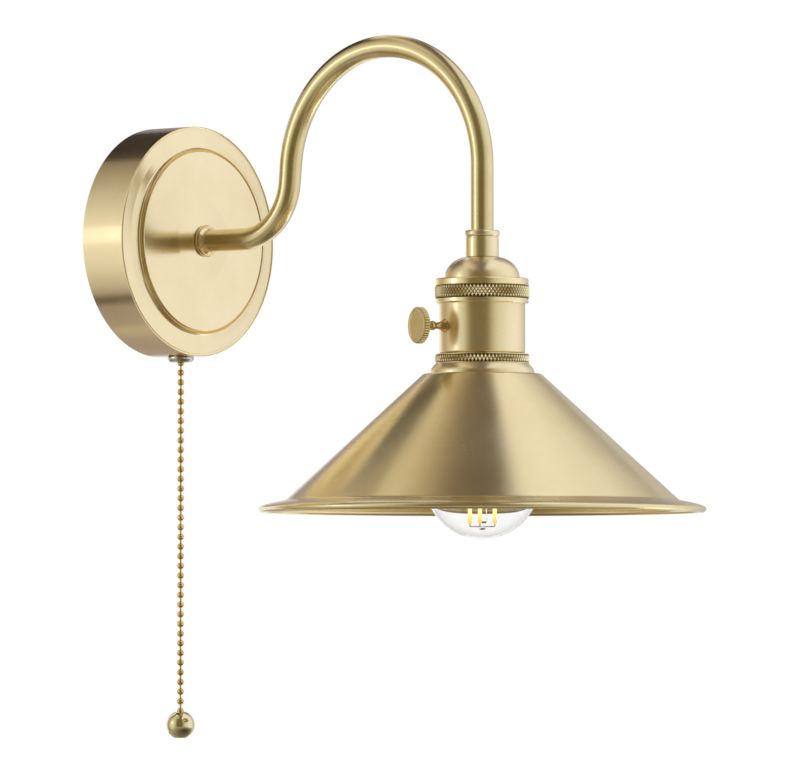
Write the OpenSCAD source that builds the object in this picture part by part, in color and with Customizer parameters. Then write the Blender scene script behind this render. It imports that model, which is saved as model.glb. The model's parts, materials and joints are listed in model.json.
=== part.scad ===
// Swan-neck wall lamp: round wall plate, bent tube arm, key-switch lampholder,
// cone shade, clear lamp bulb and a ball-chain pull switch.
// The wall is the plane y = 0, the lamp stands out from it towards -Y, and Z is up.

/* [Wall plate] */
// Outside diameter of the round wall plate
plate_d = 117; // [114:1:126]
// Depth from the wall to the flat front rim
plate_depth = 27; // [26:0.5:32]
// Sheet thickness of the wall plate
plate_wall = 1.2; // [0.8:0.1:1.3]
// Rounding of the front outer edge
plate_edge_r = 1.5; // [1.4:0.1:3]
// Diameter of the raised centre disc
disc_d = 94; // [84:1:98]
// Height of the raised centre disc
disc_h = 4; // [3.5:0.1:6]
// Rounding at the foot and the brim of the disc
disc_fillet = 1.6; // [1.4:0.1:1.7]

/* [Wall bracket] */
// Length of the horizontal strap
strap_l = 100; // [92:1:102]
// Width of the strap
strap_w = 26; // [22:1:30]
// Thickness of the bracket sheet
strap_t = 2; // [1.5:0.1:3]
// Distance between the two wall-screw slots
slot_spacing = 60; // [54:1:66]
// End-to-end length of a wall-screw slot
slot_l = 14; // [10:1:18]
// Width of a wall-screw slot
slot_w = 5; // [4:0.1:6]
// Diameter of the hole that the supply cable comes through
cable_hole_d = 14; // [10:1:16]
// Reach of the tongue that carries the terminal block, above the strap's middle
tongue_h = 40; // [38:1:44]
// Width of that tongue
tongue_w = 36; // [34:1:40]

/* [Arm] */
// Outside diameter of the arm tube
arm_d = 11.2; // [10:0.1:13]
// Wall thickness of the arm tube
arm_wall = 0.8; // [0.6:0.1:1.2]
// Straight stub between the wall plate and the first bend
stub_l = 26; // [18:1:40]
// Centreline radius of the first bend
bend_r = 30.5; // [22:0.5:40]
// Angle that the first bend turns upwards
bend_angle = 85; // [75:1:90]
// Straight rise between the two bends
rise_l = 8.5; // [4:0.5:24]
// Centreline radius of the arch
arch_r = 62; // [50:1:75]
// Straight drop from the arch to the lampholder
drop_l = 32; // [20:1:50]

/* [Lampholder] */
// Thickness of the insulating liner round the screw shell
liner_t = 4.75; // [4:0.05:6]
// How far the body stands out beyond the threaded skirt that carries the shade
body_step = 1.35; // [1.2:0.05:1.7]
// Length of the holder's body that shows
body_l = 24.5; // [23:0.5:30]
// Sheet thickness of the holder's metal parts
shell_wall = 0.8; // [0.6:0.1:1]
// How far the knurled rings stand out beyond the body
knurl_over = 2.25; // [2:0.05:4]
// Length of the skirt below the body
skirt_l = 18.5; // [17:0.5:22]
// Height of the domed cap
dome_h = 10.7; // [9:0.1:14]
// How far the domed cap stays inside the body, where it meets its ring
dome_under = 2.65; // [2.15:0.05:4.15]
// Diameter of the sleeve between the arm and the dome
sleeve_d = 16.3; // [14:0.1:18]
// Length of that sleeve
sleeve_l = 13.1; // [10:0.1:18]

/* [Key switch] */
// Diameter of the key's round head
key_d = 18; // [14:0.5:22]
// Thickness of the key's head
key_t = 3.3; // [2.5:0.1:5]
// Distance from the lampholder's axis to the outer face of the key
key_reach = 37; // [34:0.5:42]
// Turn of the key away from square to the arm, towards the wall
key_turn = 22; // [0:1:40]
// Number of grooves round the key's head
key_grooves = 36; // [24:1:48]

/* [Shade] */
// Outside diameter over the rolled rim
shade_d = 220; // [200:1:240]
// Slope of the cone below the horizontal
shade_slope = 42.5; // [36:0.5:50]
// Diameter of the flat top where the cone starts
shade_top_d = 57.8; // [56:0.2:64]
// Sheet thickness of the shade
shade_wall = 0.8; // [0.6:0.1:1.2]
// Width of the lip outside the cone
lip_w = 13.2; // [9:0.1:18]
// Fall of the lip from the cone to the rolled rim
lip_drop = 2.2; // [1:0.1:3]
// Diameter of the rolled rim
rim_roll_d = 3.9; // [3:0.1:5]

/* [Bulb] */
// Diameter of the glass
bulb_d = 57; // [50:1:60]
// Length from the centre contact to the end of the glass
bulb_l = 99; // [96:1:108]
// Thickness of the glass
glass_t = 0.7; // [0.5:0.1:1]
// Diameter over the cap's thread
cap_d = 26.2; // [26:0.1:26.4]
// Length of the metal cap
cap_l = 21.6; // [20:0.2:24]

/* [Pull chain] */
// Diameter of a bead
bead_d = 3.5; // [3:0.1:4]
// Distance from bead to bead
bead_pitch = 4.92; // [4.5:0.02:5.2]
// Diameter of the wire links between beads
link_d = 1.1; // [0.8:0.1:1.4]
// Number of beads below the switch
bead_count = 37; // [24:1:60]
// Diameter of the ball on the end of the chain
ball_d = 14.4; // [12:0.1:18]
// Distance of the chain from the wall
chain_out = 14.4; // [13.5:0.1:15]
// How far the chain pulls out to work the switch
pull_travel = 8; // [6:0.5:9]

/* [Pull switch] */
// Width of the switch case
case_w = 22; // [20:1:26]
// Depth of the switch case, out of the wall
case_t = 16; // [15:0.5:17]
// Wall thickness of the switch case
case_wall = 1.6; // [1.2:0.1:2]
// Diameter of the threaded bush that holds the switch
bush_d = 10; // [9:0.1:10.5]
// Bore that the chain runs through
bush_bore = 5.2; // [4.8:0.1:5.6]
// Diameter of the bell-mouthed nut under the wall plate
bell_d = 13.4; // [12.5:0.1:15]
// Height of that nut
bell_h = 2.6; // [2:0.1:4]

/* [Hidden] */
$fn = 64;

// Colours of the materials
brass = [0.80, 0.68, 0.40];
gold = [0.85, 0.66, 0.32];
nickel = [0.72, 0.72, 0.74];
steel = [0.66, 0.67, 0.68];
bakelite = [0.12, 0.11, 0.10];
porcelain = [0.93, 0.92, 0.88];
glass = [0.90, 0.94, 0.95, 0.35];
sheath = [0.92, 0.92, 0.90];
live_colour = [0.45, 0.25, 0.12];
neutral_colour = [0.15, 0.30, 0.62];
earth_colour = [0.45, 0.62, 0.18];
phosphor = [0.98, 0.82, 0.30];

// Clearances
touch = 0.05;      // between faces that seat on each other
slip = 0.1;        // radial, between a thread or spigot and its hole
bearing = 0.08;    // radial, round the key's shaft
run = 0.25;        // between parts that move past each other
edge_n = 6;        // steps in a rounded edge

// Wall plate
plate_r = plate_d / 2;
disc_r = disc_d / 2;
disc_face = plate_depth + disc_h;
// Lowest point inside the rim of the plate
plate_floor = -(plate_r - plate_wall);

// Threaded hollow nipples, one at each end of the arm
nipple_r = arm_d / 2 - arm_wall - slip;
nipple_wall = 1.2;
nipple_in_arm = 9;
nipple_in_plate = 11;
nut_t = 3.4;
nut_flats = 14;
washer_t = 1;
washer_r = 9.5;

// Wall collar on the front of the disc
collar_back_r = 8.1;
collar_back_t = 1.2;
collar_front_r = 7.6;
collar_front_t = 1.5;

// Path of the arm in the plane of x = out of the wall, y = up
bend_c = [disc_face + stub_l, bend_r];
bend_end = bend_c + bend_r * [sin(bend_angle), -cos(bend_angle)];
rise_end = bend_end + rise_l * [cos(bend_angle), sin(bend_angle)];
arch_c = rise_end + arch_r * [sin(bend_angle), -cos(bend_angle)];
arm_end = [arch_c.x + arch_r, arch_c.y - drop_l];
reach = arm_end.x;
head_z = arm_end.y;

// Radii of the lampholder, from the bulb's cap outwards
cap_r = cap_d / 2;
shell_slack = 0.35;
shell_t = 0.6;
shell_r_in = cap_r + shell_slack;
shell_r_out = shell_r_in + shell_t;
liner_r_in = shell_r_out + slip;
liner_r_out = liner_r_in + liner_t;
skirt_r = liner_r_out + slip + shell_wall;
body_r = skirt_r + body_step;

// Ferrule at the end of the arm, from the head's zero downwards
ferrule_ring_t = 3.2;
ferrule_ring_r = sleeve_d / 2 + 0.45;
ferrule_neck_t = 0.5;
ferrule_neck_r = sleeve_d / 2 - 0.3;
ferrule_socket = 2.8;
sleeve_r = sleeve_d / 2;
dome_top = -sleeve_l;
dome_base = dome_top - dome_h;
dome_r = body_r - dome_under;
// Radius of the flat crown of the dome, inside which its section is straight
crown_r = 6.4;
dome_flange_t = 1.2;

// Ring that screws the dome onto the body
cap_band_h = 3.7;
cap_knurl_h = 5.9;
cap_lip_h = 2.9;
cap_flange_t = 1.4;
knurl_r = body_r + knurl_over;
knurl_proud = 0.6;
cap_band_r = knurl_r - knurl_proud;
cap_bottom = dome_base - cap_band_h - cap_knurl_h - cap_lip_h;

// Holder body
body_top = dome_base - cap_flange_t - dome_flange_t - 2 * touch;
body_bottom = cap_bottom - body_l;
body_edge_r = min(1.2, body_r - skirt_r - 0.15);
skirt_bottom = body_bottom - skirt_l;

// Rings and collar that clamp the shade
ring_top = body_bottom - 0.2;
ring_h = 4.8;
ring_r = knurl_r - 0.1;
collar_top = ring_top - ring_h - touch;
collar_h = 4.8;
collar_out_r = knurl_r + 2.3;
shade_top = collar_top - collar_h;
shade_nut_t = 4;
shade_nut_r = skirt_r + 4.5;

// Cone shade
shade_r = shade_d / 2;
roll_r = rim_roll_d / 2;
shade_top_r = shade_top_d / 2;
cone_end_r = shade_r - lip_w;
cone_end_z = shade_top - (cone_end_r - shade_top_r) * tan(shade_slope);
shade_shoulder = 3.5;
roll_c = [shade_r - roll_r, cone_end_z - lip_drop - roll_r];

// Switch block and key inside the holder
key_under_cap = 11.2;
block_over_key = 13;
bulb_under_key = 5.5;
contact_room = 1.7;
key_z = cap_bottom - key_under_cap;
shaft_r = 1.7;
cam_r = 2.6;
cam_out = 13;
block_r = body_r - shell_wall - 0.3;
block_top = key_z + block_over_key;
bulb_top = key_z - bulb_under_key;
block_bottom = bulb_top + contact_room;
liner_lift = 1;
shell_bottom = skirt_bottom + 2 * liner_lift;

// Bulb, with its centre contact at bulb_top
bulb_r = bulb_d / 2;
bulb_end = bulb_top - bulb_l;
globe_z = bulb_end + bulb_r;
contact_t = 1.2;
contact_r = 4.5;
insulator_t = 3.2;
cap_top = bulb_top - contact_t - insulator_t;
cap_bottom_z = cap_top - cap_l;
neck_r = cap_r + 0.3;
stem_end = bulb_end + 4.6;
filament_ring_r = 6.2;
filament_turn = 28;
filament_l = 36;
filament_d = 2;
filament_low = bulb_end + 7.8;

// Pull switch, on the chain's line
bell_top = -plate_r - touch;
bell_r = bell_d / 2;
bush_r = bush_d / 2;
bush_nut_t = 3;
bush_nut_flats = 13;
case_floor = plate_floor + bush_nut_t + 1.1;
cavity_floor = case_floor + case_wall;
slider_t = 3.4;
slider_w = 12;
slider_d = 10;
// The return spring stands on the bush's flange. Squeezed by the full pull, its turns keep some room.
bush_flange_t = 0.8;
spring_coils = 6;
spring_wire = 0.7;
spring_r = 3.2;
spring_spare = 2;
spring_low = cavity_floor + bush_flange_t + 2 * touch;
spring_l = pull_travel + (spring_coils + 1) * spring_wire + spring_spare;
slider_bottom = spring_low + spring_l + touch;
slider_top = slider_bottom + slider_t;
cavity_top = slider_top + run;
case_top = cavity_top + case_wall;
cover_t = 1.4;

// Chain: bead 1 is the first one under the bell nut
bead_r = bead_d / 2;
bead_1 = bell_top - bell_h - 0.5;
function bead_z(i) = bead_1 - (i - 1) * bead_pitch;
middle_bead = ceil(bead_count / 2) + 1;
// Number of beads between the bell nut and the slider
inner_beads = floor((slider_bottom - bead_1 - bead_r) / bead_pitch);
ball_r = ball_d / 2;
ball_flat = 0.92 * ball_r;
ball_z = bead_z(bead_count) - 0.98 * ball_r;

// Points along an arc, in degrees from the x axis
function arc(c, r, from, to, n = edge_n) =
    [for (i = [0 : n]) let (a = from + (to - from) * i / n) c + r * [cos(a), sin(a)]];

// A point on a cubic curve
function cubic(p, t) =
    pow(1 - t, 3) * p[0] + 3 * t * pow(1 - t, 2) * p[1]
    + 3 * t * t * (1 - t) * p[2] + pow(t, 3) * p[3];

function unit(v) = v / norm(v);

// Turns local z out of the wall, with local y up
module outward() {
    rotate([90, 0, 0]) children();
}

// Turns local x out of the wall, with local y up, for shapes in the plane of the arm
module arm_plane() {
    rotate([90, 0, -90]) children();
}

// Moves the zero to the end of the arm, on the lampholder's axis
module at_head() {
    translate([0, -reach, head_z]) children();
}

// Turns local z along the key's axis, away from the lampholder
module at_key() {
    at_head() translate([0, 0, key_z]) rotate([0, 0, 180 - key_turn]) rotate([0, 90, 0]) children();
}

// Moves the zero to the chain's line
module at_chain() {
    translate([0, -chain_out, 0]) children();
}

// A pipe round the z axis
module tube(r_out, r_in, low, high) {
    translate([0, 0, low]) difference() {
        cylinder(r = r_out, h = high - low);
        translate([0, 0, -1]) cylinder(r = r_in, h = high - low + 2);
    }
}

// The stretches of a solid bar along the arm's path, which runs past each end by the given lengths.
// The rise and the drop are a hair thicker and run a little into the bends beside them, so that all join.
blend_r = 0.02;
blend_l = 0.5;
module bar_along_arm(r, before, after) {
    arm_plane() {
        translate([disc_face - before, 0, 0]) rotate([0, 90, 0]) cylinder(r = r, h = before + stub_l);
        translate([bend_c.x, bend_c.y, 0]) rotate([0, 0, -90])
            rotate_extrude(angle = bend_angle) translate([bend_r, 0]) circle(r = r);
        translate([bend_end.x, bend_end.y, 0]) rotate([0, 0, bend_angle]) rotate([0, 90, 0])
            translate([0, 0, -blend_l]) cylinder(r = r + blend_r, h = rise_l + 2 * blend_l);
        translate([arch_c.x, arch_c.y, 0])
            rotate_extrude(angle = bend_angle + 90) translate([arch_r, 0]) circle(r = r);
        translate([arm_end.x, arm_end.y - after, 0]) rotate([-90, 0, 0])
            cylinder(r = r + blend_r, h = drop_l + after + blend_l);
    }
}

module hex_nut(flats, bore_r, t) {
    difference() {
        cylinder(d = flats / cos(30), h = t, $fn = 6);
        translate([0, 0, -1]) cylinder(r = bore_r, h = t + 2);
    }
}

// A pan-head screw whose head stands on z = 0 and whose shank points down
module pan_screw(r, l, head_r, head_h) {
    difference() {
        union() {
            translate([0, 0, -l]) cylinder(r = r, h = l + 0.5);
            cylinder(r1 = head_r, r2 = head_r * 0.82, h = head_h);
        }
        translate([-head_r, -0.4, head_h * 0.5]) cube([2 * head_r, 0.8, head_h]);
    }
}

// A round bar along a cubic curve, with its rings squared to a direction that it never follows
wire_rings = 14;
wire_sides = 8;
module bent_wire(p, r, side = [1, 0, 0]) {
    last = wire_rings;
    points = [for (i = [0 : last]) cubic(p, i / last)];
    ahead = [for (i = [0 : last]) unit(points[min(i + 1, last)] - points[max(i - 1, 0)])];
    across = [for (v = ahead) unit(cross(v, side))];
    skin = [for (i = [0 : last], k = [0 : wire_sides - 1]) let (a = 360 * k / wire_sides)
        points[i] + r * (cos(a) * across[i] + sin(a) * cross(ahead[i], across[i]))];
    polyhedron(points = skin, faces = tube_faces(last, wire_sides), convexity = 4);
}

// Triangles of a bar whose rings have the given number of points, with both ends closed
function tube_faces(last, sides) = concat(
    [for (i = [0 : last - 1], k = [0 : sides - 1], half = [0, 1])
        let (a = i * sides + k, b = i * sides + (k + 1) % sides)
        half == 0 ? [a, a + sides, b + sides] : [a, b + sides, b]],
    [for (k = [1 : sides - 2]) [0, k, k + 1]],
    [for (k = [1 : sides - 2]) let (z = last * sides) [z, z + k + 1, z + k]]);

// Wall bracket: a strap with two slots, a tongue for the terminal block, and a bent tab at each end
tab_out = 13;
tab_w = 12;
screw_out = 8;
hook_reach = 3.2;
strap_x = strap_l / 2;
earth_x = -16;
block_below_tip = 12;
block_z = tongue_h - block_below_tip;
module wall_bracket() {
    color(steel) outward() difference() {
        union() {
            translate([-strap_x, -strap_w / 2, 0]) cube([strap_l, strap_w, strap_t]);
            translate([-tongue_w / 2, 0, 0]) cube([tongue_w, tongue_h, strap_t]);
            for (side = [-1, 1])
                translate([side * (strap_x - strap_t / 2) - strap_t / 2, -tab_w / 2, 0])
                    cube([strap_t, tab_w, tab_out]);
            translate([-strap_x - hook_reach, -tab_w / 2, tab_out - strap_t])
                cube([hook_reach + 1, tab_w, strap_t]);
        }
        for (side = [-1, 1]) translate([side * slot_spacing / 2, 0, -1])
            linear_extrude(strap_t + 2) slot(slot_l, slot_w);
        translate([0, 0, -1]) cylinder(d = cable_hole_d, h = strap_t + 2);
        translate([earth_x, 0, -1]) cylinder(r = earth_r + slip, h = strap_t + 2);
        for (side = [-1, 1]) translate([side * way_pitch / 2, block_z, -1])
            cylinder(r = block_screw_r + slip, h = strap_t + 2);
        translate([strap_x - strap_t - 1, 0, screw_out]) rotate([0, 90, 0])
            cylinder(r = plate_screw_r + slip, h = strap_t + 2);
    }
}

module slot(l, w) {
    union() {
        square([l - w, w], center = true);
        for (side = [-1, 1]) translate([side * (l - w) / 2, 0]) circle(d = w);
    }
}

// Wall plate: a spun cup with a raised disc on its front
hole_r = nipple_r + slip;
module wall_plate() {
    outside = concat(
        [[plate_r, 0]],
        arc([plate_r - plate_edge_r, plate_depth - plate_edge_r], plate_edge_r, 0, 90),
        arc([disc_r + disc_fillet, plate_depth + disc_fillet], disc_fillet, 270, 180),
        arc([disc_r - disc_fillet, disc_face - disc_fillet], disc_fillet, 0, 90),
        [[hole_r, disc_face]]);
    inside = concat(
        [[hole_r, disc_face - plate_wall]],
        arc([disc_r - disc_fillet, disc_face - disc_fillet], disc_fillet - plate_wall, 90, 0),
        arc([disc_r + disc_fillet, plate_depth + disc_fillet], disc_fillet + plate_wall, 180, 270),
        arc([plate_r - plate_edge_r, plate_depth - plate_edge_r], plate_edge_r - plate_wall, 90, 0),
        [[plate_r - plate_wall, 0]]);
    color(brass) difference() {
        outward() rotate_extrude() polygon(concat(outside, inside));
        at_chain() translate([0, 0, -plate_r - 2]) cylinder(r = bush_r + slip, h = 6);
        translate([plate_r - 4, -screw_out, 0]) rotate([0, 90, 0])
            cylinder(r = plate_screw_r + slip, h = 8);
    }
}

// Side screw that locks the plate to the bracket's right tab
plate_screw_r = 1.75;
plate_screw_head = 3.1;
module plate_screw() {
    shank = plate_r - strap_x + 5;
    color(brass) translate([plate_r + touch, -screw_out, 0]) rotate([0, 90, 0])
        pan_screw(plate_screw_r, shank, plate_screw_head, 1.6);
}

// Lug inside the plate that hooks behind the bracket's left tab
lug_t = 2;
module plate_lug() {
    lug_out = tab_out - strap_t - run;
    color(steel) outward() intersection() {
        translate([-plate_r, -tab_w / 2, lug_out - lug_t])
            cube([plate_r - strap_x - 2 * run, tab_w, lug_t]);
        cylinder(r = plate_r - plate_wall - touch, h = plate_depth);
    }
}

// Earth screw and washer on the strap
earth_r = 2;
module earth_screw() {
    color(brass) outward() translate([earth_x, 0, strap_t + earth_washer_t + 2 * touch])
        pan_screw(earth_r, strap_t + earth_washer_t, 3.6, 2.4);
}

earth_washer_t = 0.8;
module earth_washer() {
    color(nickel) outward() translate([earth_x, 0, 0])
        tube(4.4, earth_r + slip, strap_t + touch, strap_t + touch + earth_washer_t);
}

// Terminal block of three ways, its barrels and its screws
block_w = 30;
block_d = 17;
block_h = 13;
block_base_t = 7;
way_pitch = 9.6;
way_w = 5.8;
barrel_r = 2.4;
barrel_bore = 1.6;
block_screw_r = 1.1;
block_screw_head = 1.75;
block_low = strap_t + touch;
barrel_out = block_low + 6;
module terminal_block() {
    color(porcelain) outward() difference() {
        union() {
            translate([-block_w / 2, block_z - block_d / 2, block_low])
                cube([block_w, block_d, block_base_t]);
            for (way = [-1 : 1])
                translate([way * way_pitch - way_w / 2, block_z - block_d / 2, block_low])
                    cube([way_w, block_d, block_h]);
        }
        for (way = [-1 : 1]) {
            translate([way * way_pitch, block_z - block_d / 2 - 1, barrel_out]) rotate([-90, 0, 0])
                cylinder(r = barrel_r + slip, h = block_d + 2);
            for (end = [-1, 1]) translate([way * way_pitch, block_z + end * 5, barrel_out])
                cylinder(r = terminal_screw_r + 0.4, h = block_h);
        }
        for (side = [-1, 1]) translate([side * way_pitch / 2, block_z, 0])
            cylinder(r = block_screw_r + slip, h = block_h + 5);
    }
}

terminal_screw_r = 1.4;
terminal_screw_l = 4;
module terminal_barrels() {
    color(brass) outward() for (way = [-1 : 1]) difference() {
        translate([way * way_pitch, block_z - block_d / 2 + 1.5, barrel_out]) rotate([-90, 0, 0])
            cylinder(r = barrel_r, h = block_d - 3);
        translate([way * way_pitch, block_z - block_d / 2, barrel_out]) rotate([-90, 0, 0])
            cylinder(r = barrel_bore, h = block_d);
        for (end = [-1, 1]) translate([way * way_pitch, block_z + end * 5, barrel_out])
            cylinder(r = terminal_screw_r + slip, h = barrel_r + 1);
    }
}

module terminal_screws() {
    color(steel) outward() for (way = [-1 : 1], end = [-1, 1])
        translate([way * way_pitch, block_z + end * 5, barrel_out + core_r + slip]) difference() {
            cylinder(r = terminal_screw_r, h = terminal_screw_l);
            translate([-2, -0.3, terminal_screw_l - 0.8]) cube([4, 0.6, 2]);
        }
}

module block_screws() {
    color(steel) outward() for (side = [-1, 1])
        translate([side * way_pitch / 2, block_z, block_low + block_base_t + touch])
            pan_screw(block_screw_r, block_base_t + strap_t, block_screw_head, 1.8);
}

// Threaded hollow rod in the arm's foot, with its washer and nut inside the plate
module wall_nipple() {
    color(steel) outward()
        tube(nipple_r, nipple_r - nipple_wall, disc_face - nipple_in_plate, disc_face + nipple_in_arm);
}

washer_front = disc_face - plate_wall - touch;
module wall_washer() {
    color(steel) outward() tube(washer_r, nipple_r + slip, washer_front - washer_t, washer_front);
}

module wall_nut() {
    color(steel) outward() translate([0, 0, washer_front - washer_t - touch - nut_t])
        hex_nut(nut_flats, nipple_r + slip, nut_t);
}

module wall_collar() {
    color(brass) outward() {
        tube(collar_back_r, arm_d / 2 + slip, disc_face + touch, disc_face + collar_back_t);
        tube(collar_front_r, arm_d / 2 + slip, disc_face + collar_back_t,
            disc_face + collar_back_t + collar_front_t);
    }
}

module arm() {
    color(brass) difference() {
        bar_along_arm(arm_d / 2, 0, ferrule_socket);
        bar_along_arm(arm_d / 2 - arm_wall, 1, ferrule_socket + 1);
    }
}

// Flex through the arm, from inside the wall plate to the lampholder
flex_r = nipple_r - nipple_wall - 0.5;
flex_in_plate = nipple_in_plate + 1.5;
flex_in_holder = sleeve_l + shell_wall + nut_t + 3.5;
module inner_cable() {
    color(sheath) bar_along_arm(flex_r, flex_in_plate, flex_in_holder);
}

// Cores between the flex, the terminal block and the pull switch, as points [x, up, out]
core_r = 0.9;
core_lead = 12;      // straight start out of the flex
core_drop = 18;      // height from which a core comes down on the switch's blade
flex_end = disc_face - flex_in_plate - touch;
barrel_entry = block_z - block_d / 2 + 6;
blade_x = slider_w / 2 + 0.9;
blade_tab_top = case_top + 4;
module core(p) {
    outward() bent_wire(p, core_r);
}

module neutral_core() {
    color(neutral_colour) core([[1.5, 0.9, flex_end], [1.5, 0.9, flex_end - core_lead],
        [way_pitch, block_z - block_d, barrel_out], [way_pitch, barrel_entry, barrel_out]]);
}

module earth_core() {
    color(earth_colour) core([[-1.5, 0.9, flex_end], [-1.5, 0.9, flex_end - core_lead],
        [0, block_z - block_d, barrel_out], [0, barrel_entry, barrel_out]]);
}

module live_core() {
    color(live_colour) core([[0, -1.7, flex_end], [0, -1.7, flex_end - 0.7 * core_lead],
        [blade_x, blade_tab_top + core_drop, chain_out], [blade_x, blade_tab_top + touch, chain_out]]);
}

module switch_core() {
    color(live_colour) core([[-way_pitch, barrel_entry, barrel_out], [-way_pitch, -4, barrel_out],
        [-blade_x, blade_tab_top + core_drop, chain_out], [-blade_x, blade_tab_top + touch, chain_out]]);
}

// Ferrule on the end of the arm: a ring, a neck and the sleeve down to the dome
module arm_ferrule() {
    color(brass) at_head() rotate_extrude() polygon([
        [arm_d / 2 + slip, 0], [ferrule_ring_r - 0.4, 0], [ferrule_ring_r, -0.4],
        [ferrule_ring_r, 0.4 - ferrule_ring_t], [ferrule_ring_r - 0.4, -ferrule_ring_t],
        [ferrule_neck_r, -ferrule_ring_t], [ferrule_neck_r, -ferrule_ring_t - ferrule_neck_t],
        [sleeve_r, -ferrule_ring_t - ferrule_neck_t], [sleeve_r, dome_top], [hole_r, dome_top],
        [hole_r, -ferrule_socket - touch], [arm_d / 2 + slip, -ferrule_socket - touch]]);
}

module holder_nipple() {
    color(steel) at_head() tube(nipple_r, nipple_r - nipple_wall,
        dome_top - shell_wall - nut_t - 2, nipple_in_arm - ferrule_socket);
}

module holder_nut() {
    color(steel) at_head() translate([0, 0, dome_top - 2 * touch - shell_wall - nut_t])
        hex_nut(nut_flats - 1, nipple_r + slip, nut_t);
}

// Dome with a flat crown and an outward flange that the cap ring clamps
dome_flange_top = dome_base - cap_flange_t - touch;
dome_steps = 12;
function dome_curve(wall) = [for (i = [0 : dome_steps]) let (a = 90 * i / dome_steps)
    [crown_r + (dome_r - wall - crown_r) * sin(a), dome_base + (dome_h - touch - wall) * cos(a)]];
function flip(list) = [for (i = [len(list) - 1 : -1 : 0]) list[i]];
module holder_dome() {
    color(brass) at_head() rotate_extrude() polygon(concat(
        [[hole_r, dome_top - touch]], dome_curve(0),
        [[dome_r, dome_flange_top], [body_r - touch, dome_flange_top],
         [body_r - touch, dome_flange_top - dome_flange_t],
         [dome_r - shell_wall, dome_flange_top - dome_flange_t]],
        flip(dome_curve(shell_wall)), [[hole_r, dome_top - touch - shell_wall]]));
}

// Ring of the cap: a plain band, a knurled band and a lip
cap_in_r = body_r + slip;
module cap_ring() {
    knurl_top = dome_base - cap_band_h;
    knurl_low = knurl_top - cap_knurl_h;
    color(brass) at_head() rotate_extrude() polygon([
        [dome_r + slip, dome_base], [cap_band_r - 0.8, dome_base], [cap_band_r, dome_base - 0.8],
        [cap_band_r, knurl_top + 0.3], [cap_band_r - 0.3, knurl_top], [knurl_r - 0.4, knurl_top],
        [knurl_r, knurl_top - 0.4], [knurl_r, knurl_low + 0.4], [knurl_r - 0.4, knurl_low],
        [cap_band_r - 0.4, knurl_low], [cap_band_r, knurl_low - 0.6], [cap_band_r, cap_bottom + 0.8],
        [cap_band_r - 0.8, cap_bottom], [cap_in_r, cap_bottom],
        [cap_in_r, dome_base - cap_flange_t], [dome_r + slip, dome_base - cap_flange_t]]);
}

// Holder body: a cup, open at the top, whose floor steps in to the threaded skirt
module holder_body() {
    edge = arc([body_r - body_edge_r, body_bottom + body_edge_r], body_edge_r, 0, -90);
    inside = arc([body_r - body_edge_r, body_bottom + body_edge_r], body_edge_r - shell_wall, -90, 0);
    color(brass) difference() {
        at_head() rotate_extrude() polygon(concat(
            [[body_r - shell_wall, body_top], [body_r, body_top]], edge,
            [[skirt_r, body_bottom], [skirt_r, skirt_bottom], [skirt_r - shell_wall, skirt_bottom],
             [skirt_r - shell_wall, body_bottom + shell_wall]], inside));
        at_key() cylinder(r = key_hub_r + slip, h = body_r + 2);
    }
}

// Porcelain block inside the holder, bored for the key's shaft and its cam
cam_pocket_r = cam_r + run;
module switch_block() {
    color(porcelain) difference() {
        at_head() translate([0, 0, block_bottom]) cylinder(r = block_r, h = block_top - block_bottom);
        at_key() rotate_extrude() polygon([
            [0, -cam_out - run], [cam_pocket_r, -cam_out - run], [cam_pocket_r, cam_out + run],
            [shaft_r + bearing, cam_out + run], [shaft_r + bearing, body_r - key_in - run],
            [key_hub_r + run, body_r - key_in - run], [key_hub_r + run, body_r + 1], [0, body_r + 1]]);
        for (side = [-1, 1]) at_head()
            translate([side * terminal_x - terminal_w / 2 - slip, -terminal_w / 2 - slip,
                block_top - terminal_deep])
                cube([terminal_w + 2 * slip, terminal_w + 2 * slip, terminal_deep + 1]);
        at_head() translate([0, 0, block_bottom - 1])
            cylinder(r = contact_post_r + slip, h = cam_pocket_low - block_bottom + 2);
    }
}

// Screw terminals on top of the block
terminal_x = 13;
terminal_w = 6;
terminal_deep = 5;
terminal_tall = 8;
module block_terminals() {
    color(brass) at_head() for (side = [-1, 1])
        translate([side * terminal_x, 0, block_top - terminal_deep + touch]) difference() {
            translate([-terminal_w / 2, -terminal_w / 2, 0]) cube([terminal_w, terminal_w, terminal_tall]);
            translate([0, terminal_w, terminal_tall - 2.2]) rotate([90, 0, 0])
                cylinder(r = core_r + slip, h = 2 * terminal_w);
        }
}

// Cores between the flex and the block's terminals
module holder_cores() {
    color(live_colour) at_head() for (side = [-1, 1]) bent_wire([
        [side * 1.4, 0, -flex_in_holder - touch], [side * 1.4, 0, -flex_in_holder - 6],
        [side * terminal_x, 0, block_top + terminal_tall + 4],
        [side * terminal_x, 0, block_top + terminal_tall - terminal_deep + 2 * touch]], core_r, [0, 1, 0]);
}

// Insulating liner between the screw shell and the skirt
module socket_liner() {
    color(porcelain) at_head() tube(liner_r_out, liner_r_in, skirt_bottom + liner_lift, block_bottom - touch);
}

module screw_shell() {
    color(brass) at_head() tube(shell_r_out, shell_r_in, shell_bottom, block_bottom - touch);
}

// Centre contact: a post in the block and a plate that the bulb's tip meets
contact_post_r = 2;
contact_plate_r = 6;
contact_plate_t = 1.5;
cam_pocket_low = key_z - cam_pocket_r;
module centre_contact() {
    color(brass) at_head() {
        translate([0, 0, bulb_top + slip]) cylinder(r = contact_plate_r, h = contact_plate_t);
        translate([0, 0, bulb_top + slip]) cylinder(r = contact_post_r, h = cam_pocket_low - bulb_top - slip);
    }
}

// Key: a turned stem with a hub, a bead and a cam inside the block
key_hub_r = 3.4;
key_in = 1.5;
key_cover_t = 1.2;
key_foot_r = 3.6;
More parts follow.
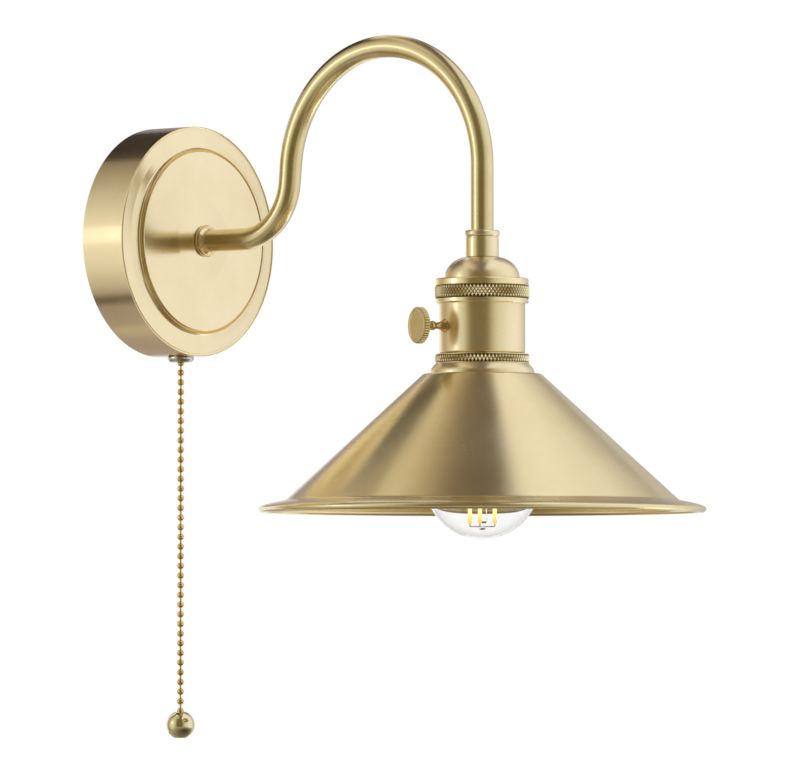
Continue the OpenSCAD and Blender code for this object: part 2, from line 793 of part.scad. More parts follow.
// Outline of the stem, as its radius at each share of the way from the body to the head
key_outline = [[0.12, key_hub_r], [0.30, 2.1], [0.44, 1.7], [0.52, 2.3], [0.60, 2.3], [0.68, 1.7], [0.80, 2.2]];
module key_shaft() {
    head_back = key_reach - key_t;
    tip = key_reach - key_cover_t;
    color(gold) at_key() rotate_extrude() polygon(concat(
        [[0, -cam_out], [cam_r, -cam_out], [cam_r, cam_out], [shaft_r, cam_out],
         [shaft_r, body_r - key_in], [key_hub_r, body_r - key_in]],
        [for (p = key_outline) [p[1], body_r + p[0] * (head_back - body_r)]],
        [[key_foot_r, head_back - touch], [shaft_r, head_back - touch], [shaft_r, tip], [0, tip]]));
}

key_bevel = 0.5;
module key_head() {
    r = key_d / 2;
    groove_r = PI * r / key_grooves / 2;
    back = key_reach - key_t;
    seat = key_reach - key_cover_t + touch;
    color(gold) at_key() difference() {
        rotate_extrude() polygon([
            [shaft_r + slip, back], [r - key_bevel, back], [r, back + key_bevel], [r, key_reach - key_bevel],
            [r - key_bevel, key_reach], [0, key_reach], [0, seat], [shaft_r + slip, seat]]);
        for (i = [0 : key_grooves - 1]) rotate([0, 0, 360 * i / key_grooves])
            translate([r + groove_r * 0.35, 0, key_reach - key_t - 1]) cylinder(r = groove_r, h = key_t + 2);
    }
}

// Knurled ring and flared collar above the shade
module shade_ring() {
    color(brass) at_head() rotate_extrude() polygon([
        [skirt_r + slip, ring_top], [ring_r - 0.5, ring_top], [ring_r, ring_top - 0.5],
        [ring_r, ring_top - ring_h + 0.5], [ring_r - 0.5, ring_top - ring_h], [skirt_r + slip, ring_top - ring_h]]);
}

module shade_collar() {
    flare = [for (i = [0 : edge_n]) let (t = i / edge_n)
        [collar_out_r - 1.4 * (1 - t * t), collar_top - 0.5 - (collar_h - 1.1) * t]];
    color(brass) at_head() rotate_extrude() polygon(concat(
        [[skirt_r + slip, collar_top], [collar_out_r - 1.9, collar_top]], flare,
        [[collar_out_r, shade_top + touch], [skirt_r + slip, shade_top + touch]]));
}

// Cone shade with a rounded shoulder, a lip and a rolled rim
lip_slope = atan(lip_drop / (lip_w - roll_r));
lip_bend_r = 4;
cone_way = [cos(shade_slope), -sin(shade_slope)];
cone_up = [sin(shade_slope), cos(shade_slope)];
shoulder_c = [shade_top_r - shade_shoulder * tan(shade_slope / 2), shade_top - shade_shoulder];
lip_bend_c = [cone_end_r, cone_end_z] - lip_bend_r * tan((shade_slope - lip_slope) / 2) * cone_way
    + lip_bend_r * cone_up;
module shade() {
    color(brass) at_head() {
        rotate_extrude() polygon(concat(
            [[skirt_r + slip, shade_top]],
            arc(shoulder_c, shade_shoulder, 90, 90 - shade_slope),
            arc(lip_bend_c, lip_bend_r, 270 - shade_slope, 270 - lip_slope),
            [[roll_c.x, roll_c.y + roll_r], [roll_c.x, roll_c.y + roll_r - shade_wall]],
            arc(lip_bend_c, lip_bend_r + shade_wall, 270 - lip_slope, 270 - shade_slope),
            arc(shoulder_c, shade_shoulder - shade_wall, 90 - shade_slope, 90),
            [[skirt_r + slip, shade_top - shade_wall]]));
        rotate_extrude() translate(roll_c) circle(r = roll_r);
    }
}

// Ring nut under the shade, with notches for the fingers
shade_nut_top = shade_top - shade_wall - touch;
nut_notches = 8;
module shade_nut() {
    color(bakelite) at_head() difference() {
        tube(shade_nut_r, skirt_r + slip, shade_nut_top - shade_nut_t, shade_nut_top);
        for (i = [0 : nut_notches - 1]) rotate([0, 0, 360 * i / nut_notches])
            translate([shade_nut_r + 1, 0, shade_nut_top - shade_nut_t - 1])
                cylinder(r = 2, h = shade_nut_t + 2);
    }
}

// Bulb glass: a globe that runs into the neck through a hollow curve, tangent to both
neck_straight = 2.5;
neck_h = cap_bottom_z - neck_straight - globe_z;
neck_arc_r = (neck_r * neck_r + neck_h * neck_h - bulb_r * bulb_r) / (2 * (bulb_r - neck_r));
neck_c = [neck_r + neck_arc_r, globe_z + neck_h];
shoulder_angle = asin(neck_h / (bulb_r + neck_arc_r));
glass_n = 24;
function glass_curve(wall) = concat(
    [[neck_r - wall, cap_bottom_z]],
    arc(neck_c, neck_arc_r + wall, 180, 180 + shoulder_angle, glass_n / 2),
    arc([0, globe_z], bulb_r - wall, shoulder_angle, -90, glass_n));
module bulb_glass() {
    color(glass) at_head() rotate_extrude()
        polygon(concat(glass_curve(0), flip(glass_curve(glass_t))));
}

// Metal cap, closed at the neck by the glass, with its thread kept smooth
cap_wall = 0.3;
cap_roof_r = 11.4;
module bulb_cap() {
    color(nickel) at_head() rotate_extrude() polygon([
        [cap_roof_r, cap_top], [cap_r - 0.9, cap_top - 0.6], [cap_r, cap_top - 2.4],
        [cap_r, cap_bottom_z + 3], [neck_r - cap_wall, cap_bottom_z + touch],
        [neck_r - 2 * cap_wall - glass_t, cap_bottom_z + touch], [cap_r - cap_wall, cap_bottom_z + 3.2],
        [cap_r - cap_wall, cap_top - 2.4], [cap_r - 1.1, cap_top - 0.9], [cap_roof_r, cap_top - 0.4]]);
}

module bulb_insulator() {
    color(bakelite) at_head() rotate_extrude() polygon([
        [0, cap_top + insulator_t], [contact_r, cap_top + insulator_t], [cap_roof_r - touch, cap_top + 0.4],
        [cap_roof_r - touch, cap_top - 0.6], [0, cap_top - 0.6]]);
}

module bulb_contact() {
    color(nickel) at_head() rotate_extrude() polygon([
        [0, bulb_top], [contact_r - 1.2, bulb_top], [contact_r - 0.3, bulb_top - contact_t + touch],
        [0, bulb_top - contact_t + touch]]);
}

// Pressed glass stem: a flare at the neck, a thin rod with a bead, and a rounded end
stem_rod_r = 1.9;
stem_press_r = 4.4;
stem_flare_h = 9;
stem_flare_r = 6;
stem_lip = 1.6;
stem_taper = 3;
stem_bead = 0.5;
stem_bead_h = 1.4;
stem_bead_up = 4.6;
stem_bevel = 0.9;
module bulb_stem() {
    top = cap_bottom_z - 1;
    low = filament_top + wire_rise + stem_taper;
    bead_up = stem_end + stem_bead_up;
    flare_r = neck_r - glass_t - touch;
    color(glass) at_head() rotate_extrude() polygon([
        [0, top - stem_taper], [flare_r - stem_lip, top], [flare_r, top], [flare_r - stem_bevel, top - stem_lip],
        [stem_flare_r, top - stem_flare_h], [stem_press_r, low], [stem_rod_r, low - stem_taper],
        [stem_rod_r, bead_up + stem_bead_h], [stem_rod_r + stem_bead, bead_up],
        [stem_rod_r, bead_up - stem_bead_h], [stem_rod_r, stem_end + stem_bevel],
        [stem_rod_r - stem_bevel, stem_end], [0, stem_end]]);
}

// Four rods that glow, on a ring round the stem
filament_top = filament_low + filament_l;
module each_filament() {
    for (i = [0 : 3]) rotate([0, 0, filament_turn + 90 * i]) translate([filament_ring_r, 0, 0]) children();
}

module bulb_filaments() {
    color(phosphor) at_head() each_filament()
        translate([0, 0, filament_low]) cylinder(d = filament_d, h = filament_l);
}

// Wires that hold the rods at both ends
wire_r = 0.3;
wire_rise = 1.6;
module bulb_wires() {
    color(steel) at_head() each_filament() {
        for (level = [filament_low - wire_rise, filament_top + wire_rise])
            translate([0, 0, level]) rotate([0, -90, 0])
                cylinder(r = wire_r, h = filament_ring_r - stem_rod_r - touch);
        translate([0, 0, filament_low - wire_rise]) cylinder(r = wire_r, h = wire_rise - touch);
        translate([0, 0, filament_top + touch]) cylinder(r = wire_r, h = wire_rise - touch);
    }
}

// Pull switch: case open at the front, cover, bush through the plate, nut inside and bell nut outside
case_back = chain_out - case_t / 2;
case_front = chain_out + case_t / 2;
module case_box(w, low, high, back, front) {
    outward() translate([-w / 2, low, back]) cube([w, high - low, front - back]);
}

module switch_case() {
    color(bakelite) difference() {
        case_box(case_w, case_floor, case_top, case_back, case_front);
        case_box(case_w - 2 * case_wall, cavity_floor, cavity_top, case_back + case_wall, case_front + 1);
        at_chain() translate([0, 0, case_floor - 1]) cylinder(r = bush_r + slip, h = case_wall + 2);
        for (side = [-1, 1]) outward() translate([side * blade_x - blade_t / 2 - slip, cavity_top - 1,
            chain_out - blade_w / 2 - slip]) cube([blade_t + 2 * slip, case_wall + 2, blade_w + 2 * slip]);
    }
}

module switch_cover() {
    color(bakelite) case_box(case_w, case_floor, case_top, case_front + touch, case_front + touch + cover_t);
}

blade_t = 0.8;
blade_w = 5;
module switch_blades() {
    color(brass) for (side = [-1, 1]) outward()
        translate([side * blade_x - blade_t / 2, cavity_floor + 8, chain_out - blade_w / 2])
            cube([blade_t, blade_tab_top - cavity_floor - 8, blade_w]);
}

module switch_bush() {
    color(brass) at_chain() {
        tube(bush_r, bush_bore / 2, bell_top - bell_seat, cavity_floor + touch);
        tube(bush_r + 1.5, bush_bore / 2, cavity_floor + touch, cavity_floor + touch + bush_flange_t);
    }
}

module bush_nut() {
    color(steel) at_chain() translate([0, 0, case_floor - touch - bush_nut_t])
        hex_nut(bush_nut_flats, bush_r + slip, bush_nut_t);
}

bell_bevel = 0.7;
bell_mouth = 1.5;
bell_seat = 0.6 * bell_h;
module bell_nut() {
    mouth_r = bush_bore / 2;
    color(nickel) at_chain() translate([0, 0, bell_top]) mirror([0, 0, 1]) rotate_extrude() polygon([
        [bush_r + slip, 0], [bell_r, 0], [bell_r, bell_h / 2], [bell_r - bell_bevel, bell_h - bell_bevel / 2],
        [bell_r - 2 * bell_bevel, bell_h], [mouth_r + bell_mouth, bell_h],
        [mouth_r + bell_mouth / 3, bell_h - bell_bevel / 2], [mouth_r, bell_seat + touch],
        [bush_r + slip, bell_seat + touch]]);
}

module pull_slider() {
    color(bakelite) at_chain() difference() {
        translate([-slider_w / 2, -slider_d / 2, slider_bottom]) cube([slider_w, slider_d, slider_t]);
        translate([0, 0, slider_bottom - 1]) cylinder(r = link_d / 2 + slip, h = slider_t + 2);
        translate([0, 0, slider_top - rivet_t - slip]) cylinder(r = rivet_r + slip, h = slider_t);
    }
}

// Return spring: one wire wound round the chain, with its turns worked out from its length
spring_sides = 6;
spring_steps = 20;
module return_spring() {
    n = spring_coils * spring_steps;
    wire = spring_wire / 2;
    rise = (spring_l - spring_wire) / n;
    points = [for (i = [0 : n], k = [0 : spring_sides - 1])
        let (a = 360 * i / spring_steps, b = 360 * k / spring_sides, r = spring_r + wire * cos(b))
        [r * cos(a), r * sin(a), spring_low + wire + rise * i + wire * sin(b)]];
    color(steel) at_chain()
        polyhedron(points = points, faces = tube_faces(n, spring_sides), convexity = 10);
}

// Ball chain. A run is fused from its beads and the wires between them.
module bead() {
    sphere(r = bead_r);
}

module link(low, high) {
    translate([0, 0, low]) cylinder(d = link_d, h = high - low);
}

module bead_run(first, last) {
    for (i = [first : last]) translate([0, 0, bead_z(i)]) bead();
    link(bead_z(last), bead_z(first));
}

rivet_r = 1.3;
rivet_t = 1;
module chain_inner() {
    first = 1 - inner_beads;
    color(gold) at_chain() {
        bead_run(first, 0);
        link(bead_z(1) + bead_r + slip, bead_z(0));
        link(bead_z(first), slider_top - rivet_t);
        translate([0, 0, slider_top - rivet_t]) cylinder(r = rivet_r, h = rivet_t);
    }
}

module chain_swivel_bead() {
    color(gold) at_chain() translate([0, 0, bead_z(1)]) bead();
}

module chain_upper() {
    color(gold) at_chain() {
        bead_run(2, middle_bead - 1);
        link(bead_z(2), bead_z(1) - bead_r - slip);
        link(bead_z(middle_bead) + bead_r + slip, bead_z(middle_bead - 1));
    }
}

module chain_middle_bead() {
    color(gold) at_chain() translate([0, 0, bead_z(middle_bead)]) bead();
}

module chain_lower() {
    color(gold) at_chain() {
        bead_run(middle_bead + 1, bead_count);
        link(bead_z(middle_bead + 1), bead_z(middle_bead) - bead_r - slip);
    }
}

// Ball that holds the last bead in its top, cut flat at its top and bottom
module pull_ball() {
    color(gold) at_chain() translate([0, 0, ball_z]) difference() {
        sphere(r = ball_r);
        for (side = [-1, 1]) translate([-ball_r, -ball_r, side > 0 ? ball_flat : -ball_flat - ball_r])
            cube([2 * ball_r, 2 * ball_r, ball_r]);
        translate([0, 0, bead_z(bead_count) - ball_z]) sphere(r = bead_r + slip);
    }
}

wall_bracket();
wall_plate();
plate_screw();
plate_lug();
earth_screw();
earth_washer();
terminal_block();
terminal_barrels();
terminal_screws();
block_screws();
arm();
wall_collar();
wall_nipple();
wall_nut();
wall_washer();
inner_cable();
live_core();
neutral_core();
earth_core();
switch_core();
arm_ferrule();
holder_nipple();
holder_nut();
holder_dome();
cap_ring();
holder_body();
switch_block();
block_terminals();
holder_cores();
socket_liner();
screw_shell();
centre_contact();
key_shaft();
key_head();
shade_ring();
shade_collar();
shade();
shade_nut();
bulb_glass();
bulb_cap();
bulb_insulator();
bulb_contact();
bulb_stem();
bulb_filaments();
bulb_wires();
switch_case();
switch_cover();
switch_blades();
switch_bush();
bush_nut();
bell_nut();
pull_slider();
return_spring();
chain_inner();
chain_swivel_bead();
chain_upper();
chain_middle_bead();
chain_lower();
pull_ball();
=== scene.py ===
"""Looks of a swan-neck wall lamp: satin brass, knurled rings, a cone shade, a clear bulb and a ball chain.

The wall is the plane y = 0, the lamp stands out towards -Y, and Z is up. Outlines are written in millimetres.
"""

import json
import math

import bpy
from mathutils import Matrix, Vector

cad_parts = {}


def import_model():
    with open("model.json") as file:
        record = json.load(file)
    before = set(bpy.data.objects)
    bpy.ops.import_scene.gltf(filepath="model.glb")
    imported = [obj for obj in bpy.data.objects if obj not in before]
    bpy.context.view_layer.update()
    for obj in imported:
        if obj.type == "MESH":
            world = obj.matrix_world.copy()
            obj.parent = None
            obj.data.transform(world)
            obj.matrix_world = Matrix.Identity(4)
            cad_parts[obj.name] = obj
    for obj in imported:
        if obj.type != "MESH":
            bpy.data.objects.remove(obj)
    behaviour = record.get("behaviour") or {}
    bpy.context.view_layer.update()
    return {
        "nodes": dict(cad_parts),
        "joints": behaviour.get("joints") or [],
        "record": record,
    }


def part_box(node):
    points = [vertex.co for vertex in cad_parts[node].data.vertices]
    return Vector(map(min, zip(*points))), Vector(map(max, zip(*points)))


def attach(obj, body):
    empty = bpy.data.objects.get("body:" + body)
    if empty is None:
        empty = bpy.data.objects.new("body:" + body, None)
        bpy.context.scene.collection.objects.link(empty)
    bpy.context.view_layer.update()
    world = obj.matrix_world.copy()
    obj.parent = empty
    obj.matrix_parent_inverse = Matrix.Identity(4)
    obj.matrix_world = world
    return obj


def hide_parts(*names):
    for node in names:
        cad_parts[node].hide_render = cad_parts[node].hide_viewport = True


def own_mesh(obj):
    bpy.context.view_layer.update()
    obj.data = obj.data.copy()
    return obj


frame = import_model()

MM = 0.001
TAU = 2 * math.pi
SIDES_LARGE, SIDES, SIDES_SMALL = 384, 192, 96
SHARP_ANGLE = 38


# Places and sizes taken from the frame

def middle(node):
    low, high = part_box(node)
    return (low + high) / 2


OUTWARD = Matrix.Rotation(math.radians(90), 4, "X")
HEAD = Matrix.Translation((middle("holder_body").x, middle("holder_body").y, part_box("arm_ferrule")[1].z))
CHAIN = Matrix.Translation((middle("pull_ball").x, middle("pull_ball").y, 0))
JOINTS = {j["name"]: j for j in frame["joints"]}
KEY_AXIS = Vector(JOINTS["key_turn"]["axis"])
KEY = Matrix.Translation(JOINTS["key_turn"]["pos_m"]) @ KEY_AXIS.to_track_quat("Z", "Y").to_matrix().to_4x4()


def extent(node, place):
    """Radius, lowest and highest z in millimetres of a node that is turned about the z axis of place."""
    inverse = place.inverted()
    corners = [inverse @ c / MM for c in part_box(node)]
    heights = sorted(c.z for c in corners)
    return abs(corners[1].x - corners[0].x) / 2, heights[0], heights[1]


# Outlines

def arc(centre, radius, start, end, steps=8):
    """Points along an arc, in degrees from the r axis."""
    angles = [math.radians(start + (end - start) * i / steps) for i in range(steps + 1)]
    return [(centre[0] + radius * math.cos(a), centre[1] + radius * math.sin(a)) for a in angles]


def soften(points, steps=5):
    """Rounds each corner of a closed outline that has a third value, its radius."""
    made = []
    for i, point in enumerate(points):
        if len(point) < 3:
            made.append(point)
            continue
        here = Vector(point[:2])
        back = (Vector(points[i - 1][:2]) - here).normalized()
        ahead = (Vector(points[(i + 1) % len(points)][:2]) - here).normalized()
        turn = math.pi - back.angle(ahead)
        if turn < 0.01:
            made.append(point[:2])
            continue
        centre = here + (back + ahead).normalized() * point[2] / math.cos(turn / 2)
        first = here + back * point[2] * math.tan(turn / 2) - centre
        way = 1 if first.x * ahead.y - first.y * ahead.x > 0 else -1
        for k in range(steps + 1):
            a = way * turn * k / steps
            cos, sin = math.cos(a), math.sin(a)
            made.append((centre.x + first.x * cos - first.y * sin, centre.y + first.x * sin + first.y * cos))
    return made


# Mesh building

class Shape:
    """Collects points and faces, in millimetres, round a local z axis."""

    def __init__(self):
        self.points = []
        self.faces = []
        self.smooth = []
        self.hollows = {}

    def add_face(self, corners, smooth=True):
        self.faces.append(corners)
        self.smooth.append(smooth)

    def lathe(self, outline, steps=SIDES, closed=True):
        """Turns an outline of (radius, height) points. An open one runs from axis to axis."""
        area = sum(a[0] * b[1] - b[0] * a[1] for a, b in zip(outline, outline[1:] + outline[:1]))
        outline = outline if area > 0 else outline[::-1]
        rings = []
        for radius, height in outline:
            start = len(self.points)
            if radius < 1e-6:
                self.points.append((0, 0, height))
                rings.append([start] * steps)
                continue
            for k in range(steps):
                a = TAU * k / steps
                self.points.append((radius * math.cos(a), radius * math.sin(a), height))
            rings.append(list(range(start, start + steps)))
        pairs = list(zip(rings, rings[1:])) + ([(rings[-1], rings[0])] if closed else [])
        for low, high in pairs:
            for k in range(steps):
                n = (k + 1) % steps
                corners = [low[k], low[n], high[n], high[k]]
                corners = [c for i, c in enumerate(corners) if c != corners[i - 1]]
                if len(corners) > 2:
                    self.add_face(corners)
        return self

    def knurl(self, radius, low, high, around, levels, depth):
        """A band of pyramids: every second point of a grid stands out, and its neighbours are in grooves."""
        columns = 2 * around
        start = len(self.points)
        for j in range(levels + 1):
            for i in range(columns):
                tip = (i + j) % 2 and 0 < j < levels
                out = radius if tip else radius - depth
                # hollow marks the groove points, which the material paints darker as shade
                self.hollows[len(self.points)] = 0.0 if tip else 1.0
                a = TAU * i / columns
                self.points.append((out * math.cos(a), out * math.sin(a), low + (high - low) * j / levels))
        for j in range(levels):
            for i in range(columns):
                n = (i + 1) % columns
                a, b = start + j * columns + i, start + j * columns + n
                c, d = b + columns, a + columns
                halves = [(a, b, c), (a, c, d)] if (i + j) % 2 == 0 else [(a, b, d), (b, c, d)]
                for half in halves:
                    self.add_face(half, smooth=False)
        return self

    def thread(self, root, crest, low, high, pitch, steps=96, per_turn=10):
        """A rolled thread: a round wave that climbs one pitch a turn and fades at both ends."""
        levels = round((high - low) / pitch * per_turn)
        start = len(self.points)
        for j in range(levels + 1):
            height = low + (high - low) * j / levels
            fade = min(1, (height - low) / pitch, (high - height) / pitch)
            for k in range(steps):
                wave = 0.5 + 0.5 * math.cos(TAU * (height / pitch - k / steps))
                radius = root + (crest - root) * wave * max(0, fade)
                a = TAU * k / steps
                self.points.append((radius * math.cos(a), radius * math.sin(a), height))
        for j in range(levels):
            for k in range(steps):
                n = (k + 1) % steps
                a, b = start + j * steps + k, start + j * steps + n
                self.add_face((a, b, b + steps, a + steps))
        return self

    def grooved(self, radius, low, high, grooves, depth, edge):
        """A rim with straight grooves along the axis, and a bevel at both ends."""
        columns = 4 * grooves
        levels = [(low, -edge), (low + edge, 0), (high - edge, 0), (high, -edge)]
        start = len(self.points)
        for height, inset in levels:
            for i in range(columns):
                cut = 0 if i % 4 < 2 else 1
                out = radius + inset - depth * cut
                # hollow marks the groove points, which the material paints darker as shade
                self.hollows[len(self.points)] = float(cut)
                a = TAU * i / columns
                self.points.append((out * math.cos(a), out * math.sin(a), height))
        for j in range(len(levels) - 1):
            for i in range(columns):
                n = (i + 1) % columns
                a, b = start + j * columns + i, start + j * columns + n
                self.add_face((a, b, b + columns, a + columns), smooth=False)
        return self

    def sweep(self, path, radius, sides=64):
        """A round bar along a path of points in one plane, whose normal is the local x axis."""
        start = len(self.points)
        across = Vector((1, 0, 0))
        for i, point in enumerate(path):
            ahead = (path[min(i + 1, len(path) - 1)] - path[max(i - 1, 0)]).normalized()
            other = ahead.cross(across)
            for k in range(sides):
                a = TAU * k / sides
                self.points.append(tuple(point + radius * (math.cos(a) * across + math.sin(a) * other)))
        for i in range(len(path) - 1):
            for k in range(sides):
                n = (k + 1) % sides
                a, b = start + i * sides + k, start + i * sides + n
                self.add_face((a, b, b + sides, a + sides))
        self.add_face([start + k for k in reversed(range(sides))], smooth=False)
        self.add_face([start + (len(path) - 1) * sides + k for k in range(sides)], smooth=False)
        return self

    def coil(self, radius, wire, low, high, turns, steps=32, sides=12):
        """A round wire, wound round the local z axis so that it fills the room from low to high."""
        start = len(self.points)
        count = turns * steps
        for i in range(count + 1):
            a = TAU * i / steps
            height = low + wire + (high - low - 2 * wire) * i / count
            for k in range(sides):
                b = TAU * k / sides
                out = radius + wire * math.cos(b)
                self.points.append((out * math.cos(a), out * math.sin(a), height + wire * math.sin(b)))
        for i in range(count):
            for k in range(sides):
                n = (k + 1) % sides
                a, b = start + i * sides + k, start + i * sides + n
                self.add_face((a, a + sides, b + sides, b))
        self.add_face([start + k for k in range(sides)], smooth=False)
        self.add_face([start + count * sides + k for k in reversed(range(sides))], smooth=False)
        return self

    def shifted(self, other, offset):
        """Adds a copy of another shape, moved by offset."""
        start = len(self.points)
        self.points += [tuple(Vector(p) + Vector(offset)) for p in other.points]
        self.faces += [[start + c for c in face] for face in other.faces]
        self.smooth += other.smooth
        return self

    def build(self, name, place, material, body, slot, node):
        """Makes the piece, which rides on a body and stands for a CAD node."""
        mesh = bpy.data.meshes.new(name)
        mesh.from_pydata([Vector(p) * MM for p in self.points], [], [list(f) for f in self.faces])
        mesh.polygons.foreach_set("use_smooth", self.smooth)
        mesh.materials.append(material)
        # the hollow attribute leads the painted shade in the grooves of the material
        if self.hollows:
            hollow = mesh.attributes.new("hollow", "FLOAT", "POINT")
            hollow.data.foreach_set("value", [self.hollows.get(i, 0.0) for i in range(len(self.points))])
        mesh.validate()
        mesh.update()
        mesh.set_sharp_from_angle(angle=math.radians(SHARP_ANGLE))
        piece = bpy.data.objects.new(name, mesh)
        bpy.context.scene.collection.objects.link(piece)
        piece.matrix_world = place
        weighted = piece.modifiers.new("weighted_normals", "WEIGHTED_NORMAL")
        weighted.keep_sharp = True
        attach(piece, body)
        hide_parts(node)
        return piece


# Materials

LINES_PER_M, CLOUD_SCALE, SPECK_SCALE, GRAIN_SCALE = 6500, 30, 420, 1100
NOISE_LOW, NOISE_HIGH, LINE_SHARE = 0.3, 0.7, 0.15
METAL_BUMP, SKIN_BUMP = 0.03 * MM, 0.05 * MM


class Nodes:
    """A short way to write a node tree: values and sockets go in by input name."""

    def __init__(self, name):
        self.material = bpy.data.materials.new(name)
        self.material.use_nodes = True
        self.tree = self.material.node_tree
        self.shader = self.tree.nodes["Principled BSDF"]

    def add(self, kind, settings=None, **inputs):
        made = self.tree.nodes.new(kind)
        for key, value in (settings or {}).items():
            setattr(made, key, value)
        for key, value in inputs.items():
            socket = made.inputs[int(key[1:])] if key[0] == "_" else made.inputs[key]
            self.put(socket, value)
        return made

    def put(self, socket, value):
        if isinstance(value, bpy.types.NodeSocket):
            self.tree.links.new(value, socket)
        else:
            socket.default_value = value

    def math(self, operation, a, b=0.0):
        return self.add("ShaderNodeMath", {"operation": operation}, _0=a, _1=b).outputs[0]

    def noise(self, vector, scale, detail=3.0, roughness=0.5):
        return self.add("ShaderNodeTexNoise", None, Vector=vector, Scale=scale, Detail=detail,
                        Roughness=roughness).outputs["Fac"]

    def ramp(self, value, low, high, to_low=0.0, to_high=1.0):
        made = self.add("ShaderNodeMapRange", None, _0=value, _1=low, _2=high, _3=to_low, _4=to_high)
        return made.outputs[0]

    def mix(self, factor, a, b):
        made = self.add("ShaderNodeMix", {"data_type": "RGBA"}, _0=factor)
        self.put(made.inputs[6], a)
        self.put(made.inputs[7], b)
        return made.outputs[2]

    def bump(self, height, strength, distance):
        made = self.add("ShaderNodeBump", None, Height=height, Strength=strength, Distance=distance)
        return made.outputs[0]

    def place(self):
        return self.add("ShaderNodeTexCoord").outputs["Object"]

    def turned(self, across, along):
        """Coordinates for lines round the local z axis: fine from line to line, slow along each line."""
        parts = self.add("ShaderNodeSeparateXYZ", None, _0=self.place())
        x, y, z = parts.outputs
        radius = self.math("SQRT", self.math("ADD", self.math("MULTIPLY", x, x), self.math("MULTIPLY", y, y)))
        safe = self.math("MAXIMUM", radius, 1e-5)
        line = self.math("MULTIPLY", self.math("SUBTRACT", radius, z), across)
        joined = self.add("ShaderNodeCombineXYZ", None,
                          _0=self.math("MULTIPLY", self.math("DIVIDE", x, safe), along),
                          _1=self.math("MULTIPLY", self.math("DIVIDE", y, safe), along), _2=line)
        return joined.outputs[0]


def colour(hexadecimal):
    """A linear colour from the six digits of an sRGB one."""
    parts = [int(hexadecimal[i:i + 2], 16) / 255 for i in (0, 2, 4)]
    return (*(c / 12.92 if c <= 0.04045 else ((c + 0.055) / 1.055) ** 2.4 for c in parts), 1.0)


def metal(name, pale, deep, rough, rough_spread, brushed=0.0, anisotropic=0.0, grain=0.1, groove_shade=None):
    """A metal with a cloudy colour, uneven gloss, fine lines round its axis and perhaps painted shade, a
    darker colour in its grooves.
    """
    n = Nodes(name)
    place = n.place()
    cloud = n.noise(place, CLOUD_SCALE, 4, 0.6)
    fine = n.noise(place, GRAIN_SCALE, 2, 0.5)
    if brushed:
        lines = n.noise(n.turned(LINES_PER_M, 5.0), 1, 3, 0.7)
    else:
        lines = n.noise(place, SPECK_SCALE, 3, 0.6)
    tone = n.math("ADD", n.math("MULTIPLY", cloud, 1 - LINE_SHARE), n.math("MULTIPLY", lines, LINE_SHARE))
    tint = n.mix(n.ramp(tone, NOISE_LOW, NOISE_HIGH), deep, pale)
    # painted shade: points marked hollow, down in the grooves, get a darker colour
    if groove_shade:
        hollow = n.add("ShaderNodeAttribute", {"attribute_name": "hollow"}).outputs["Fac"]
        tint = n.mix(n.ramp(hollow, 0.55, 1.0), tint, groove_shade)
    n.put(n.shader.inputs["Base Color"], tint)
    n.shader.inputs["Metallic"].default_value = 1.0
    spread = n.math("ADD", n.math("MULTIPLY", lines, 0.5), n.math("MULTIPLY", cloud, 0.5))
    gloss = n.ramp(spread, NOISE_LOW, NOISE_HIGH, rough - rough_spread, rough + rough_spread)
    n.put(n.shader.inputs["Roughness"], gloss)
    height = n.math("ADD", n.math("MULTIPLY", lines, brushed), n.math("MULTIPLY", fine, grain))
    n.put(n.shader.inputs["Normal"], n.bump(height, 0.3, METAL_BUMP))
    if anisotropic:
        n.shader.inputs["Anisotropic"].default_value = anisotropic
        n.shader.inputs["Anisotropic Rotation"].default_value = 0.25
        tangent = n.add("ShaderNodeTangent", {"direction_type": "RADIAL", "axis": "Z"})
        n.put(n.shader.inputs["Tangent"], tangent.outputs[0])
    return n.material


def solid(name, pale, deep, rough, scale, coat=0.0):
    """A plastic, ceramic or rubber with a mottled colour, uneven gloss and a faint skin texture."""
    n = Nodes(name)
    place = n.place()
    mottle = n.noise(place, scale, 5, 0.6)
    skin = n.noise(place, scale * 12, 3, 0.6)
    n.put(n.shader.inputs["Base Color"], n.mix(n.ramp(mottle, NOISE_LOW, NOISE_HIGH), deep, pale))
    n.put(n.shader.inputs["Roughness"], n.ramp(skin, NOISE_LOW, NOISE_HIGH, rough - 0.06, rough + 0.08))
    n.put(n.shader.inputs["Normal"], n.bump(skin, 0.2, SKIN_BUMP))
    n.shader.inputs["Coat Weight"].default_value = coat
    n.shader.inputs["Coat Roughness"].default_value = 0.08
    return n.material


def clear_glass(name):
    """Clear glass with a faint smear of dust in its gloss."""
    n = Nodes(name)
    smear = n.noise(n.place(), 60, 4, 0.6)
    n.shader.inputs["Base Color"].default_value = (1, 1, 1, 1)
    n.shader.inputs["Transmission Weight"].default_value = 1.0
    n.shader.inputs["IOR"].default_value = 1.3
    n.put(n.shader.inputs["Roughness"], n.ramp(smear, 0.35, 0.8, 0.0, 0.01))
    n.put(n.shader.inputs["Normal"], n.bump(smear, 0.02, SKIN_BUMP))
    return n.material


AMBER_L = 7.0


def glowing(name):
    """Phosphor coating on a glowing rod: amber at its lower end, hotter above and a little uneven."""
    n = Nodes(name)
    grain = n.noise(n.place(), 1400, 3, 0.6)
    height = n.add("ShaderNodeSeparateXYZ", None, _0=n.place()).outputs[2]
    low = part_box("bulb_filaments")[0].z
    heat = n.math("ADD", n.ramp(height, low, low + AMBER_L * MM), n.ramp(grain, 0.2, 0.8, -0.12, 0.12))
    amber = n.mix(n.ramp(grain, NOISE_LOW, NOISE_HIGH), colour("e09a10"), colour("ffc640"))
    n.put(n.shader.inputs["Base Color"], amber)
    n.put(n.shader.inputs["Emission Color"], n.mix(heat, colour("f2a408"), colour("fff0b4")))
    n.shader.inputs["Emission Strength"].default_value = 1.15
    n.shader.inputs["Roughness"].default_value = 0.5
    return n.material


